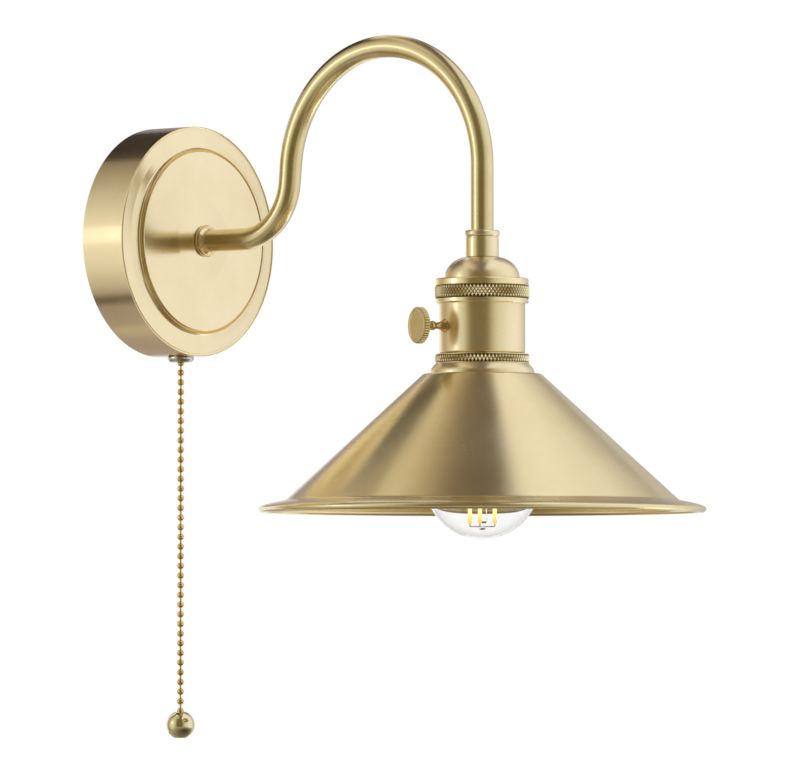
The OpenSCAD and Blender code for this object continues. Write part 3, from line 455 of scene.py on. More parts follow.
SATIN = metal("satin_brass", colour("f4e5c1"), colour("ecdbb3"), 0.19, 0.03, brushed=0.3, anisotropic=0.6)
HOLDER = metal("holder_brass", colour("f4e5c1"), colour("ecdbb3"), 0.28, 0.03, brushed=0.3, anisotropic=0.6)
TUBE = metal("tube_brass", colour("e6d8ad"), colour("d8c799"), 0.24, 0.03, grain=0.05)
SHADE = metal("shade_brass", colour("f3e3b9"), colour("ead8aa"), 0.25, 0.04, brushed=0.3, anisotropic=0.6)
# the groove colours of these two brasses are painted shade in the knurl and in the key's grooves
KNURLED = metal("knurled_brass", colour("fbeec8"), colour("f0dfb2"), 0.2, 0.04, groove_shade=colour("6d582c"))
KNOB = metal("knob_brass", colour("ecdcae"), colour("dfcb98"), 0.34, 0.05, groove_shade=colour("a08449"))
STEM = metal("stem_brass", colour("dfc690"), colour("c9aa72"), 0.26, 0.05)
GOLD = metal("polished_gold", colour("ecd292"), colour("d8b568"), 0.1, 0.03)
BALL = metal("pale_polished_brass", colour("eee5c4"), colour("dccfa0"), 0.09, 0.03)
CONTACT = metal("contact_brass", colour("e2c47c"), colour("c09a52"), 0.3, 0.08)
STEEL = metal("zinc_steel", colour("cfd0d0"), colour("a4a6a8"), 0.36, 0.1)
NICKEL = metal("nickel_plate", colour("d8d6d0"), colour("bcbab4"), 0.18, 0.05, brushed=0.3)
PORCELAIN = solid("glazed_porcelain", colour("f4f1e8"), colour("e6e1d4"), 0.22, 60, coat=0.4)
PLASTIC = solid("black_moulding", colour("1d1b1a"), colour("121110"), 0.38, 140)
SHEATH = solid("white_sheath", colour("efeee9"), colour("dddbd3"), 0.5, 120)
LIVE = solid("brown_core", colour("7a4a26"), colour("603718"), 0.42, 150)
NEUTRAL = solid("blue_core", colour("2f5fae"), colour("1f4a94"), 0.42, 150)
EARTH = solid("green_core", colour("7aa12e"), colour("d3cc3c"), 0.42, 90)
GLASS = clear_glass("clear_glass")
GLOW = glowing("glowing_rod")

SLOT_MATERIALS = {
    "brass_satin": SATIN, "brass_shade": SHADE, "brass_polished": GOLD, "brass_contacts": CONTACT,
    "zinc_steel": STEEL, "nickel": NICKEL, "porcelain": PORCELAIN, "black_plastic": PLASTIC,
    "cable_sheath": SHEATH, "brown_core": LIVE, "blue_core": NEUTRAL, "green_core": EARTH,
    "clear_glass": GLASS, "filament": GLOW,
}


def dress_frame():
    """Gives every node that stays the material of its slot."""
    slots = {part["node"]: part["material_slot"] for part in frame["record"]["subparts"]}
    for name, node in frame["nodes"].items():
        node.data.materials.clear()
        node.data.materials.append(SLOT_MATERIALS[slots[name]])


# Wall plate and arm

FIT, SEAT = 0.1, 0.05
SHEET, DISC_RISE, DISC_R, PLATE_HOLE_R = 1.2, 4.0, 47.0, 5.2
FOOT_R, EDGE_R, DISC_INNER_R, RIM_INNER_R = 1.7, 0.9, 0.6, 0.4
COLLAR_STEP_T, COLLAR_STEP_W = 1.15, 0.5
ARM_R, SOCKET = 5.6, 2.8
STUB, BEND_R, BEND_TURN, RISE, ARCH_R, DROP = 26.0, 30.5, 85.0, 8.5, 62.0, 32.0
BEND_STEPS, ARCH_STEPS = 34, 84


def wall_plate():
    radius, _, face = extent("wall_plate", OUTWARD)
    rim = face - DISC_RISE
    outline = soften([
        (radius, 0), (radius, rim, EDGE_R), (DISC_R, rim, FOOT_R), (DISC_R, face, FOOT_R),
        (PLATE_HOLE_R, face), (PLATE_HOLE_R, face - SHEET), (DISC_R - SHEET, face - SHEET, DISC_INNER_R),
        (DISC_R - SHEET, rim - SHEET, DISC_INNER_R), (radius - SHEET, rim - SHEET, RIM_INNER_R),
        (radius - SHEET, 0)], steps=8)
    shape = Shape().lathe(outline, SIDES_LARGE)
    shape.build("wall_plate_spun", OUTWARD, SATIN, "fixture", "brass_satin", "wall_plate")
    return face


def wall_collar():
    radius, low, high = extent("wall_collar", OUTWARD)
    step, inner = low + COLLAR_STEP_T, radius - COLLAR_STEP_W
    outline = soften([
        (ARM_R + FIT, low), (radius, low, 0.15), (radius, step, 0.45), (inner, step), (inner, high, 0.6),
        (ARM_R + FIT, high)])
    shape = Shape().lathe(outline)
    shape.build("wall_collar_turned", OUTWARD, SATIN, "fixture", "brass_satin", "wall_collar")


def arm_path(face):
    """Points of the arm's centreline, in millimetres: stub, bend, rise, arch and drop."""
    def at(out, up):
        return Vector((0, -out, up))

    bend_c = (face + STUB, BEND_R)
    turn = math.radians(BEND_TURN)
    end = (bend_c[0] + BEND_R * math.sin(turn), bend_c[1] - BEND_R * math.cos(turn))
    top = (end[0] + RISE * math.cos(turn), end[1] + RISE * math.sin(turn))
    arch_c = (top[0] + ARCH_R * math.sin(turn), top[1] - ARCH_R * math.cos(turn))
    points = [at(face, 0), at(face + STUB * 0.5, 0)]
    points += [at(*p) for p in arc(bend_c, BEND_R, -90, BEND_TURN - 90, BEND_STEPS)]
    points += [at((end[0] + top[0]) / 2, (end[1] + top[1]) / 2)]
    points += [at(*p) for p in arc(arch_c, ARCH_R, BEND_TURN + 90, 0, ARCH_STEPS)]
    last = (arch_c[0] + ARCH_R, arch_c[1] - DROP)
    points += [at(last[0], last[1] + DROP * 0.5), at(last[0], last[1] - SOCKET)]
    return points


def arm(face):
    Shape().sweep(arm_path(face), ARM_R).build("arm_tube", Matrix(), TUBE, "fixture", "brass_satin", "arm")


# Lampholder

BORE_R, HOLDER_WALL = 4.8, 0.8
FERRULE_RING_T, FERRULE_NECK_T, FERRULE_L, SLEEVE_INSET, NECK_INSET = 3.2, 0.5, 13.1, 0.45, 0.3
CROWN_R, DOME_R, DOME_TOP, DOME_BASE, DOME_STEPS, FLANGE_T = 6.4, 18.5, -13.15, -23.8, 36, 1.2
KNURL_AROUND, KNURL_DEPTH = 80, 0.55
BAND_INSET, BAND_SEAT_DEPTH, RING_EDGE_INSET, RING_SEAT_INSET = 0.6, 0.5, 0.1, 0.6
CAP_KNURL_LEVELS, CAP_BORE_R, CAP_TOP_T, CAP_BAND, CAP_LIP = 5, 21.3, 1.4, 3.5, 2.7
BODY_STEP_Z, SKIRT_STEP, SKIRT_WALL = -60.8, 1.35, 0.4
SKIRT_THREAD_L, SKIRT_THREAD_DEPTH, SKIRT_PITCH = 4.4, 0.5, 1.5
SKIRT_FIT_R, SHADE_KNURL_LEVELS, RING_EDGE_T = 19.9, 3, 0.4
FLARE, FLARE_FOOT_T, FLARE_STEPS = 2.5, 0.5, 12


def ferrule():
    ring, _, _ = extent("arm_ferrule", HEAD)
    sleeve = ring - SLEEVE_INSET
    neck = sleeve - NECK_INSET
    neck_end = -FERRULE_RING_T - FERRULE_NECK_T
    outline = soften([
        (ARM_R + FIT, 0), (ring, 0, 1.3), (ring, -FERRULE_RING_T, 1.3), (neck, -FERRULE_RING_T),
        (neck, neck_end), (sleeve, neck_end, 0.25), (sleeve, -FERRULE_L), (BORE_R, -FERRULE_L),
        (BORE_R, -SOCKET - SEAT), (ARM_R + FIT, -SOCKET - SEAT)])
    shape = Shape().lathe(outline)
    shape.build("arm_ferrule_turned", HEAD, HOLDER, "fixture", "brass_satin", "arm_ferrule")


def dome():
    def curve(wall):
        angles = [math.radians(90 * i / DOME_STEPS) for i in range(DOME_STEPS + 1)]
        return [(CROWN_R + (DOME_R - wall - CROWN_R) * math.sin(a),
                 DOME_BASE + (DOME_TOP - DOME_BASE - wall) * math.cos(a)) for a in angles]

    flange, low, _ = extent("holder_dome", HEAD)
    flange_top = low + FLANGE_T
    outline = [(BORE_R, DOME_TOP)] + curve(0)
    outline += [(DOME_R, flange_top), (flange, flange_top), (flange, low), (DOME_R - HOLDER_WALL, low)]
    outline += curve(HOLDER_WALL)[::-1] + [(BORE_R, DOME_TOP - HOLDER_WALL)]
    shape = Shape().lathe(outline)
    shape.build("holder_dome_spun", HEAD, HOLDER, "fixture", "brass_satin", "holder_dome")


def cap_ring():
    radius, low, high = extent("cap_ring", HEAD)
    band = radius - BAND_INSET
    seat = band - BAND_SEAT_DEPTH
    knurl_high, knurl_low = high - CAP_BAND, low + CAP_LIP
    outline = soften([
        (DOME_R + FIT, high), (band, high, 0.9), (band, knurl_high, 0.3), (seat, knurl_high),
        (seat, knurl_low), (band, knurl_low, 0.5), (band, low, 0.9), (CAP_BORE_R, low),
        (CAP_BORE_R, high - CAP_TOP_T), (DOME_R + FIT, high - CAP_TOP_T)])
    shape = Shape().lathe(outline)
    shape.knurl(radius, knurl_low, knurl_high, KNURL_AROUND, CAP_KNURL_LEVELS, KNURL_DEPTH)
    shape.build("cap_ring_knurled", HEAD, KNURLED, "fixture", "brass_satin", "cap_ring")


def holder_body():
    radius, low, high = extent("holder_body", HEAD)
    skirt = radius - SKIRT_STEP
    root = skirt - SKIRT_THREAD_DEPTH
    bore, inner = root - SKIRT_WALL, radius - HOLDER_WALL
    thread_top, ledge = low + SKIRT_THREAD_L, BODY_STEP_Z + HOLDER_WALL
    outline = soften([
        (inner, high), (radius, high), (radius, BODY_STEP_Z, 1.1), (skirt, BODY_STEP_Z), (skirt, thread_top),
        (root, thread_top - 0.2), (root, low), (bore, low), (bore, ledge), (inner, ledge)])
    shape = Shape().lathe(outline)
    shape.thread(root, skirt, low, thread_top, SKIRT_PITCH)
    shape.build("holder_body_spun", HEAD, HOLDER, "fixture", "brass_satin", "holder_body")


def shade_ring():
    radius, low, high = extent("shade_ring", HEAD)
    edge, seat = radius - RING_EDGE_INSET, radius - RING_SEAT_INSET
    knurl_low, knurl_high = low + RING_EDGE_T, high - RING_EDGE_T
    outline = soften([
        (SKIRT_FIT_R, high), (edge, high, 0.3), (edge, knurl_high), (seat, knurl_high), (seat, knurl_low),
        (edge, knurl_low), (edge, low, 0.3), (SKIRT_FIT_R, low)])
    shape = Shape().lathe(outline)
    shape.knurl(radius, knurl_low, knurl_high, KNURL_AROUND, SHADE_KNURL_LEVELS, KNURL_DEPTH)
    shape.build("shade_ring_knurled", HEAD, KNURLED, "fixture", "brass_satin", "shade_ring")


def shade_collar():
    radius, low, high = extent("shade_collar", HEAD)
    fall = high - low - FLARE_FOOT_T
    flare = [(radius - FLARE * (1 - math.sin(t * TAU / 4)), high - fall * t)
             for t in (i / FLARE_STEPS for i in range(FLARE_STEPS + 1))]
    shape = Shape().lathe([(SKIRT_FIT_R, high)] + flare + [(radius, low), (SKIRT_FIT_R, low)])
    shape.build("shade_collar_flared", HEAD, HOLDER, "fixture", "brass_satin", "shade_collar")


# Turn key

BODY_R, KEY_R, KEY_T, KEY_REACH, KEY_SIDES = 21.15, 9.0, 3.3, 37.0, 144
KEY_GROOVES, KEY_GROOVE_DEPTH, KEY_BEVEL = 40, 0.4, 0.5
SHAFT_R, SHAFT_END, PIN_R, PIN_INSET, FOOT_INSET = 2.6, 13, 1.7, 1.2, 1.5
STEM_FOOT_R, STEM_WAIST_R, STEM_BEAD_R, STEM_BALL_R = 3.4, 1.6, 2.35, 2.6
STEM_FOOT, STEM_CURVE, STEM_BEAD, STEM_BALL, STEM_STEPS = 0.02, 0.34, 0.55, 0.83, 12


def key_stem(back):
    """The shaft and its turned stem. Places along the stem are shares of its length outside the body."""
    def at(share):
        return BODY_R + share * (back - BODY_R)

    foot = BODY_R - FOOT_INSET
    end = KEY_REACH - PIN_INSET
    outline = [(0, -SHAFT_END), (SHAFT_R, -SHAFT_END), (SHAFT_R, SHAFT_END), (PIN_R, SHAFT_END),
               (PIN_R, foot), (STEM_FOOT_R, foot), (STEM_FOOT_R, at(STEM_FOOT))]
    outline += [(STEM_WAIST_R + (STEM_FOOT_R - STEM_WAIST_R) * (1 - t) ** 2, at(STEM_FOOT + STEM_CURVE * t))
                for t in (0.1 * i for i in range(1, 11))]
    outline += arc((0, at(STEM_BEAD)), STEM_BEAD_R, -46, 46, STEM_STEPS)
    outline += arc((0, at(STEM_BALL)), STEM_BALL_R, -50, 30, STEM_STEPS)
    outline += [(STEM_FOOT_R, back - SEAT), (PIN_R, back - SEAT), (PIN_R, end), (0, end)]
    shape = Shape().lathe(outline, SIDES_SMALL, closed=False)
    shape.build("key_stem_turned", KEY, STEM, "key", "brass_polished", "key_shaft")


def key_head(back):
    hub, hub_top, rim = PIN_R + FIT, KEY_REACH - PIN_INSET + SEAT, KEY_R - 1.0
    face = soften([
        (hub, back), (rim, back), (rim, KEY_REACH - 0.1), (rim - 0.3, KEY_REACH),
        (rim - 0.7, KEY_REACH - 0.25, 0.2), (0, KEY_REACH - 0.4), (0, hub_top), (hub, hub_top)])
    shape = Shape().lathe(face, KEY_SIDES)
    shape.grooved(KEY_R, back, KEY_REACH, KEY_GROOVES, KEY_GROOVE_DEPTH, KEY_BEVEL)
    inner, outer = rim - 0.1, rim + 0.4
    shape.lathe([(inner, back), (outer, back), (outer, KEY_REACH), (inner, KEY_REACH)])
    shape.build("key_head_knurled", KEY, KNOB, "key", "brass_polished", "key_head")


# Shade

SLOPE, TOP_R, SHOULDER_R, WALL = 42.5, 28.9, 3.5, 0.8
LIP_W, LIP_DROP, LIP_BEND_R, ROLL_R = 13.2, 2.2, 4.0, 1.95
CREST_LEAVE, CREST_ARRIVE, CREST_STEPS = 0.62, 0.75, 16
TURN_STEPS, ROLL_STEPS = 10, 28


def crest(start, slope, end):
    """A curve that leaves start falling at a slope in degrees and arrives at end straight down."""
    reach = CREST_LEAVE * (end[0] - start[0])
    first = (start[0] + reach, start[1] - reach * math.tan(math.radians(slope)))
    guides = (start, first, (end[0], end[1] + CREST_ARRIVE * ROLL_R), end)
    made = []
    for i in range(1, CREST_STEPS):
        t = i / CREST_STEPS
        weights = ((1 - t) ** 3, 3 * t * (1 - t) ** 2, 3 * t * t * (1 - t), t ** 3)
        made.append(tuple(sum(w * p[axis] for w, p in zip(weights, guides)) for axis in (0, 1)))
    return made


def shade():
    radius, _, top = extent("shade", HEAD)
    cone_end = (radius - LIP_W, top - (radius - LIP_W - TOP_R) * math.tan(math.radians(SLOPE)))
    lip_slope = math.degrees(math.atan(LIP_DROP / (LIP_W - ROLL_R)))
    down = Vector((math.cos(math.radians(SLOPE)), -math.sin(math.radians(SLOPE))))
    up = Vector((-down.y, down.x))
    shoulder = (TOP_R - SHOULDER_R * math.tan(math.radians(SLOPE / 2)), top - SHOULDER_R)
    before_bend = LIP_BEND_R * math.tan(math.radians((SLOPE - lip_slope) / 2))
    bend = Vector(cone_end) - before_bend * down + LIP_BEND_R * up
    roll = (radius - ROLL_R, cone_end[1] - LIP_DROP - ROLL_R)
    tuck = math.degrees(math.acos((ROLL_R - WALL) / ROLL_R))
    outline = [(SKIRT_FIT_R, top)] + arc(shoulder, SHOULDER_R, 90, 90 - SLOPE, TURN_STEPS)
    outline += arc(bend, LIP_BEND_R, 270 - SLOPE, 270 - lip_slope, TURN_STEPS)
    outline += crest(outline[-1], lip_slope, (radius, roll[1]))
    outline += arc(roll, ROLL_R, 0, -270 + tuck, ROLL_STEPS)
    outline += arc(bend, LIP_BEND_R + WALL, 270 - lip_slope, 270 - SLOPE, TURN_STEPS)
    outline += arc(shoulder, SHOULDER_R - WALL, 90 - SLOPE, 90, TURN_STEPS) + [(SKIRT_FIT_R, top - WALL)]
    Shape().lathe(outline, SIDES_LARGE).build("shade_spun", HEAD, SHADE, "fixture", "brass_shade", "shade")


# Bulb

GLASS_T, NECK_R, NECK_STRAIGHT, NECK_STEPS, GLOBE_STEPS = 0.7, 13.4, 2.5, 20, 48
CAP_END_R, CAP_THREAD_DEPTH, CAP_PITCH, CAP_FLARE_L, CAP_TOP_L = 11.4, 1.0, 3.629, 3.6, 2.6


def bulb_glass():
    radius, low, high = extent("bulb_glass", HEAD)
    globe = low + radius
    rise = high - NECK_STRAIGHT - globe
    hollow = (NECK_R ** 2 + rise ** 2 - radius ** 2) / (2 * (radius - NECK_R))
    shoulder = math.degrees(math.asin(rise / (radius + hollow)))

    def curve(wall):
        neck = arc((NECK_R + hollow, globe + rise), hollow + wall, 180, 180 + shoulder, NECK_STEPS)
        ball = arc((0, globe), radius - wall, shoulder, -90, GLOBE_STEPS)
        return [(NECK_R - wall, high)] + neck + ball[1:-1] + [(0, globe - radius + wall)]

    shape = Shape().lathe(curve(0) + curve(GLASS_T)[::-1], SIDES_SMALL)
    shape.build("bulb_envelope", HEAD, GLASS, "bulb", "clear_glass", "bulb_glass")


def bulb_cap():
    radius, low, high = extent("bulb_cap", HEAD)
    root = radius - CAP_THREAD_DEPTH
    flare, top = low + CAP_FLARE_L, high - CAP_TOP_L
    outline = soften([
        (CAP_END_R, high), (root + 0.1, high - 0.6, 0.8), (root + 0.1, top), (root - 0.1, top),
        (root - 0.1, flare + 0.6), (root + 0.4, flare - 0.2, 0.8), (NECK_R - 0.3, low + SEAT),
        (NECK_R - 1.3, low + SEAT), (root - 0.6, flare), (root - 0.6, high - 1.2), (CAP_END_R, high - 0.4)])
    shape = Shape().lathe(outline)
    shape.thread(root, radius, flare, top + 0.4, CAP_PITCH)
    shape.build("bulb_cap_threaded", HEAD, NICKEL, "bulb", "nickel", "bulb_cap")


# Pull chain

BEADS, PITCH, BEAD_R, BEAD_WALL, BEAD_SIDES = 37, 4.92, 1.75, 0.3, 24
HOLE_R, HOLE_ANGLE, BEAD_STEPS, BEAD_INSIDE_STEPS, BALL_STEPS = 0.75, 62, 18, 6, 40
LINK_R, LINK_HEAD, LINK_NECK, LINK_FLARE, LINK_SIDES = 0.55, 0.9, 1.5, 0.3, 16
BALL_BORE, BALL_BORE_TIP, BALL_BEVEL = 2.2, 3.0, (0.25, 0.4)
BUSH_FIT_R, MOUTH_R, MOUTH_T, BELL_RIM_T = 5.1, 2.6, 1.0, 1.2


def bead_shape():
    """A hollow bead, open at both poles, with the edge of each hole turned in."""
    tip = math.degrees(math.acos(HOLE_R / BEAD_R))
    inside = arc((0, 0), BEAD_R - BEAD_WALL, HOLE_ANGLE, -HOLE_ANGLE, BEAD_INSIDE_STEPS)
    return Shape().lathe(arc((0, 0), BEAD_R, -tip, tip, BEAD_STEPS) + inside, BEAD_SIDES)


def link_shape():
    """A dumb-bell link, whose heads sit inside the two beads beside it."""
    head, neck = PITCH / 2 - LINK_HEAD, PITCH / 2 - LINK_NECK
    outline = soften([
        (0, head), (LINK_R + LINK_FLARE, head, LINK_FLARE), (LINK_R, neck), (LINK_R, -neck),
        (LINK_R + LINK_FLARE, -head, LINK_FLARE), (0, -head)])
    return Shape().lathe(outline, LINK_SIDES, closed=False)


def run(beads, links, bead_1):
    """The beads and links of these numbers. Link n hangs between bead n and the next one."""
    shape, bead, link = Shape(), bead_shape(), link_shape()
    for n in beads:
        shape.shifted(bead, (0, 0, bead_1 - (n - 1) * PITCH))
    for n in links:
        shape.shifted(link, (0, 0, bead_1 - (n - 0.5) * PITCH))
    return shape


def chain():
    _, low, high = extent("chain_swivel_bead", CHAIN)
    bend = math.ceil(BEADS / 2) + 1
    runs = [
        ("chain_bead_top", "chain_swivel", "chain_swivel_bead", [1], []),
        ("chain_run_upper", "chain_top", "chain_upper", range(2, bend), range(1, bend)),
        ("chain_bead_middle", "chain_bend", "chain_middle_bead", [bend], []),
        ("chain_run_lower", "chain_end", "chain_lower", range(bend + 1, BEADS + 1), range(bend, BEADS)),
    ]
    for name, body, node, beads, links in runs:
        run(beads, links, (low + high) / 2).build(name, CHAIN, GOLD, body, "brass_polished", node)


def ball():
    radius, low, high = extent("pull_ball", CHAIN)
    centre = (low + high) / 2
    flat = high - centre
    lean = math.degrees(math.asin(flat / radius))
    bore = BEAD_R + FIT
    outline = [(0, centre - flat)] + arc((0, centre), radius, -lean, lean, BALL_STEPS)
    outline += [(bore + BALL_BEVEL[0], high), (bore, high - BALL_BEVEL[1]), (bore, high - BALL_BORE),
                (0, high - BALL_BORE_TIP)]
    shape = Shape().lathe(outline, SIDES_SMALL, closed=False)
    shape.build("pull_ball_turned", CHAIN, BALL, "chain_end", "brass_polished", "pull_ball")


def bell_nut():
    radius, low, high = extent("bell_nut", CHAIN)
    outline = soften([
        (BUSH_FIT_R, high), (radius, high, 0.2), (radius, high - BELL_RIM_T, 0.3),
        (radius - 0.7, low + 0.5, 0.3), (radius - 1.2, low, 0.3), (MOUTH_R + 1.8, low, 0.8),
        (MOUTH_R, low + MOUTH_T), (BUSH_FIT_R, low + MOUTH_T)])
    Shape().lathe(outline).build("bell_nut_turned", CHAIN, NICKEL, "fixture", "nickel", "bell_nut")


# Pull switch

SPRING_WIRE_R, SPRING_TURNS = 0.35, 6


def return_spring():
    """The spring stands on the bush of the pull switch; on the real lamp the chain's pull squeezes it, and
    here it is built at rest.
    """
    radius, low, high = extent("return_spring", CHAIN)
    shape = Shape().coil(radius - SPRING_WIRE_R, SPRING_WIRE_R, low, high, SPRING_TURNS)
    spring = shape.build("return_spring_wound", CHAIN, STEEL, "fixture", "zinc_steel", "return_spring")
    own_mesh(spring)


# Camera, light and surroundings

CAMERA_AZIMUTH, CAMERA_PITCH, CAMERA_DISTANCE = -50.34, 2.09, 3577
CAMERA_RIGHT, CAMERA_UP = 118.99, -69.4
FOCAL_PIXELS, PHOTO_WIDTH, SENSOR = 7000, 785, 36.0
DIFFUSE_LEVEL = 0.8
CARD_CENTRE, CARD_DISTANCE, LIGHT_DISTANCE = Vector((0.0, -0.16, -0.05)), 1.6, 1.5
RIM_MIDDLE, SCREEN_DISTANCE, SCREEN_REACH = Vector((0, -0.015, 0)), 0.22, 0.16
OVERHEAD_Z, UNDER_SHADE_Z, TABLE_Z = 1.7, -0.34, -0.9


def camera():
    """Sets the camera and returns the axes that the cards use: right, level ahead and up as it sees them."""
    azimuth, pitch = math.radians(CAMERA_AZIMUTH), math.radians(CAMERA_PITCH)
    right, up = Vector((math.cos(azimuth), math.sin(azimuth), 0)), Vector((0, 0, 1))
    ahead = Vector((-math.sin(azimuth), math.cos(azimuth), 0))
    look = ahead * math.cos(pitch) + up * math.sin(pitch)
    data = bpy.data.cameras.new("camera")
    data.sensor_width = SENSOR
    data.lens = FOCAL_PIXELS * SENSOR / PHOTO_WIDTH
    data.clip_end = 100
    made = bpy.data.objects.new("camera", data)
    bpy.context.scene.collection.objects.link(made)
    made.location = (right * CAMERA_RIGHT + up * CAMERA_UP - look * CAMERA_DISTANCE) * MM
    made.rotation_euler = look.to_track_quat("-Z", "Y").to_euler()
    bpy.context.scene.camera = made
    return Matrix((right, ahead, up)).transposed().to_4x4()


def world():
    """White for the camera and for reflections; plain soft light on everything else."""
    made = bpy.data.worlds.new("studio")
    bpy.context.scene.world = made
    made.use_nodes = True
    tree = made.node_tree
    background = tree.nodes["Background"]
    path = tree.nodes.new("ShaderNodeLightPath")
    seen = None
    for output in ("Is Camera Ray", "Is Glossy Ray", "Is Transmission Ray"):
        if seen is None:
            seen = path.outputs[output]
            continue
        larger = tree.nodes.new("ShaderNodeMath")
        larger.operation = "MAXIMUM"
        tree.links.new(seen, larger.inputs[0])
        tree.links.new(path.outputs[output], larger.inputs[1])
        seen = larger.outputs[0]
    level = tree.nodes.new("ShaderNodeMapRange")
    level.inputs["To Min"].default_value = DIFFUSE_LEVEL
    tree.links.new(seen, level.inputs["Value"])
    tree.links.new(level.outputs[0], background.inputs["Strength"])
    background.inputs["Color"].default_value = (1, 1, 1, 1)


def card(name, view, rows, tints):
    """A studio card that only reflections see, from rows of points: right, ahead and up for the camera."""
    columns = len(rows[0])
    mesh = bpy.data.meshes.new(name)
    mesh.from_pydata([Vector(p) for row in rows for p in row], [],
                     [(j * columns + i, j * columns + i + 1, (j + 1) * columns + i + 1, (j + 1) * columns + i)
                      for j in range(len(rows) - 1) for i in range(columns - 1)])
    tint = mesh.attributes.new("tint", "FLOAT_COLOR", "POINT")
    tint.data.foreach_set("color", [part for row in tints for c in row for part in (*c, 1.0)])
    made = bpy.data.objects.new(name, mesh)
    bpy.context.scene.collection.objects.link(made)
    made.matrix_world = Matrix.Translation(CARD_CENTRE) @ view
    paint = bpy.data.materials.new(name)
    paint.use_nodes = True
    tree = paint.node_tree
    tree.nodes.remove(tree.nodes["Principled BSDF"])
    source = tree.nodes.new("ShaderNodeAttribute")
    source.attribute_name = "tint"
    light = tree.nodes.new("ShaderNodeEmission")
    tree.links.new(source.outputs["Color"], light.inputs["Color"])
    tree.links.new(light.outputs[0], tree.nodes["Material Output"].inputs["Surface"])
    mesh.materials.append(paint)
    made.visible_camera = made.visible_diffuse = made.visible_shadow = made.visible_transmission = False


def towards(azimuth, elevation, distance=CARD_DISTANCE):
    """A point in a direction from the lamp: azimuth from straight ahead to the right, in degrees."""
    a, e = math.radians(azimuth), math.radians(elevation)
    level = distance * math.cos(e)
    return (level * math.sin(a), level * math.cos(a), distance * math.sin(e))


def scaled(tint, factor):
    return tuple(part * factor for part in tint)


def wrap(name, view, columns, rows):
    """A curved card: columns give an azimuth and a tint, rows an elevation and a factor."""
    card(name, view, [[towards(azimuth, elevation) for azimuth, _ in columns] for elevation, _ in rows],
         [[scaled(tint, factor) for _, tint in columns] for _, factor in rows])


def over_plate(view, angle):
    """Two points that the wall plate's rim mirrors to the camera, at an angle in degrees from its top."""
    radius, _, _ = extent("wall_plate", OUTWARD)
    a = math.radians(angle)
    turn = view.to_3x3().inverted()
    normal = turn @ Vector((-math.sin(a), 0, math.cos(a)))
    mirrored = Vector((0, 1, 0)) - 2 * normal.y * normal
    on_rim = turn @ (RIM_MIDDLE - CARD_CENTRE) + radius * MM * normal
    along = turn @ Vector((0, 1, 0))
    return [tuple(on_rim + SCREEN_DISTANCE * mirrored + side * SCREEN_REACH * along) for side in (-1, 1)]


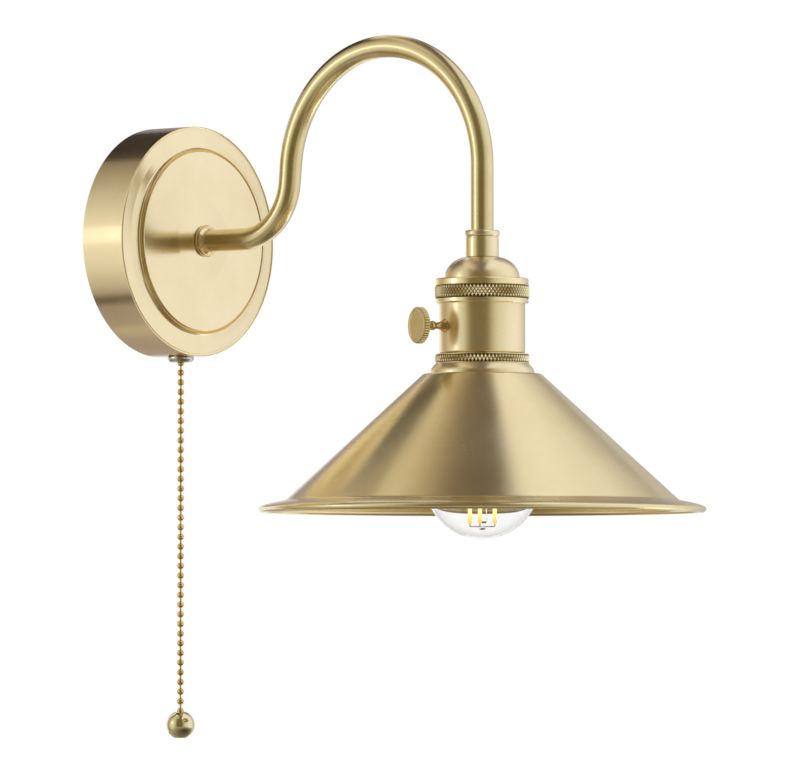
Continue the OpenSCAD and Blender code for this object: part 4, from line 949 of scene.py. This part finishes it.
def surroundings(view):
    """Cards round the lamp: what its satin faces mirror in the photograph."""
    white, shadow, olive, grey = (1, 1, 1), (0.045, 0.037, 0.037), (0.2, 0.16, 0.085), (0.34, 0.3, 0.32)
    left_edge = (0.44, 0.39, 0.25)

    def level(name, across, ahead, tint):
        """A card of one tint at the table's height."""
        rows = [[(x, y, TABLE_Z) for x in across] for y in ahead]
        card(name, view, rows, [[tint] * len(across)] * len(ahead))

    # the room on the left, brightest at the horizon
    wrap("left_room", view,
         [(-52, (0.3, 0.25, 0.19)), (-74, (0.58, 0.5, 0.38)), (-90, (0.8, 0.76, 0.64)), (-105, (1, 1, 0.94)),
          (-118, (0.8, 0.8, 0.7)), (-130, (0.66, 0.65, 0.52)), (-140, left_edge)],
         [(-37, 0.55), (-28, 0.78), (-14, 1.02), (0, 1.12), (10, 1.12), (24, 0.95), (38, 0.8), (56, 0.7)])
    # a dark gap behind the camera, with a soft right edge
    wrap("dark_gap", view,
         [(-140, left_edge), (-151, olive), (-180, olive), (-190, olive), (-199, (0.32, 0.27, 0.15)),
          (-209, (0.58, 0.55, 0.4)), (-221, (0.74, 0.75, 0.64)), (-238, (0.86, 0.87, 0.8)), (-262, white)],
         [(-36, 1), (-10, 1), (20, 1), (46, 1)])
    # the gap goes on overhead, where its left side is soft
    overhead = [(-1.15, (0.9, 0.84, 0.68)), (-0.8, (0.86, 0.78, 0.62)), (-0.55, (0.52, 0.44, 0.31)),
                (-0.38, (0.33, 0.27, 0.2)), (-0.2, (0.2, 0.165, 0.135)), (0.25, (0.14, 0.12, 0.115)),
                (0.37, (0.95, 0.95, 0.95))]
    ahead = (-1.7, -0.8, 0.0, 0.7, 1.3)
    card("overhead_gap", view, [[(x, y, OVERHEAD_Z) for x, _ in overhead] for y in ahead],
         [[tint for _, tint in overhead]] * len(ahead))
    # a black screen ahead of the camera, a grey one under it and a soft one beside it
    angles = range(17, 46, 4)
    card("black_screen", view, [over_plate(view, angle) for angle in angles], [[shadow] * 2] * len(angles))
    wrap("grey_screen", view, [(-30, grey), (0, grey), (22, grey)], [(8, 1), (27, 1)])
    # the room ahead on the right, darker towards the middle
    wrap("right_room", view,
         [(8, (0.5, 0.48, 0.46)), (32, (0.62, 0.6, 0.57)), (56, (0.85, 0.84, 0.82)), (76, white)],
         [(-24, 1), (0, 1), (22, 1)])
    wrap("soft_screen", view,
         [(2, (0.26, 0.24, 0.24)), (20, (0.34, 0.32, 0.31)), (31, (0.42, 0.4, 0.38)), (39, (0.6, 0.57, 0.54)),
          (47, (0.84, 0.82, 0.8)), (55, white)],
         [(22, 1), (38, 1), (54, 1)])
    # a table below, dark at its left edge and open ahead on the right
    edge, top = (0.05, 0.045, 0.035), (0.4, 0.34, 0.3)
    level("table_edge", (-1.3, -1.12), (-1.5, 0, 3), edge)
    level("table_left", (-1.12, -0.2), (-1.5, 0, 4), top)
    level("table_near", (-0.2, 1.5), (-1.5, 0, 0.2), top)
    # a dark patch under the shade that only reflections see, put there as shade for its hollow: dark in the
    # middle and fading outwards
    fade = [(-0.36, 0.0), (-0.12, 0.85), (0.0, 1.0), (0.12, 0.85), (0.36, 0.0)]
    card("shade_floor", view, [[(x, y, UNDER_SHADE_Z) for x, _ in fade] for y, _ in fade],
         [[scaled((0.55, 0.49, 0.38), 1 - 0.9 * across * along) for _, across in fade] for _, along in fade])
    # light on the floor beyond the table
    level("floor_light", (-0.15, 1.2), (0.2, 0.9), (2.2, 2.2, 2.1))


def area_light(name, view, azimuth, elevation, size, energy):
    data = bpy.data.lights.new(name, "AREA")
    data.size = size
    data.energy = energy
    made = bpy.data.objects.new(name, data)
    bpy.context.scene.collection.objects.link(made)
    made.location = CARD_CENTRE + view.to_3x3() @ Vector(towards(azimuth, elevation, LIGHT_DISTANCE))
    made.rotation_euler = (CARD_CENTRE - made.location).to_track_quat("-Z", "Y").to_euler()


# The scene

dress_frame()
disc_face = wall_plate()
wall_collar()
arm(disc_face)
ferrule()
dome()
cap_ring()
holder_body()
shade_ring()
shade_collar()
key_stem(KEY_REACH - KEY_T)
key_head(KEY_REACH - KEY_T)
shade()
bulb_glass()
bulb_cap()
bell_nut()
return_spring()
chain()
ball()

view_axes = camera()
world()
surroundings(view_axes)
area_light("side_light", view_axes, -105, 7, 0.3, 0.45)

bpy.context.scene.view_settings.view_transform = "Standard"
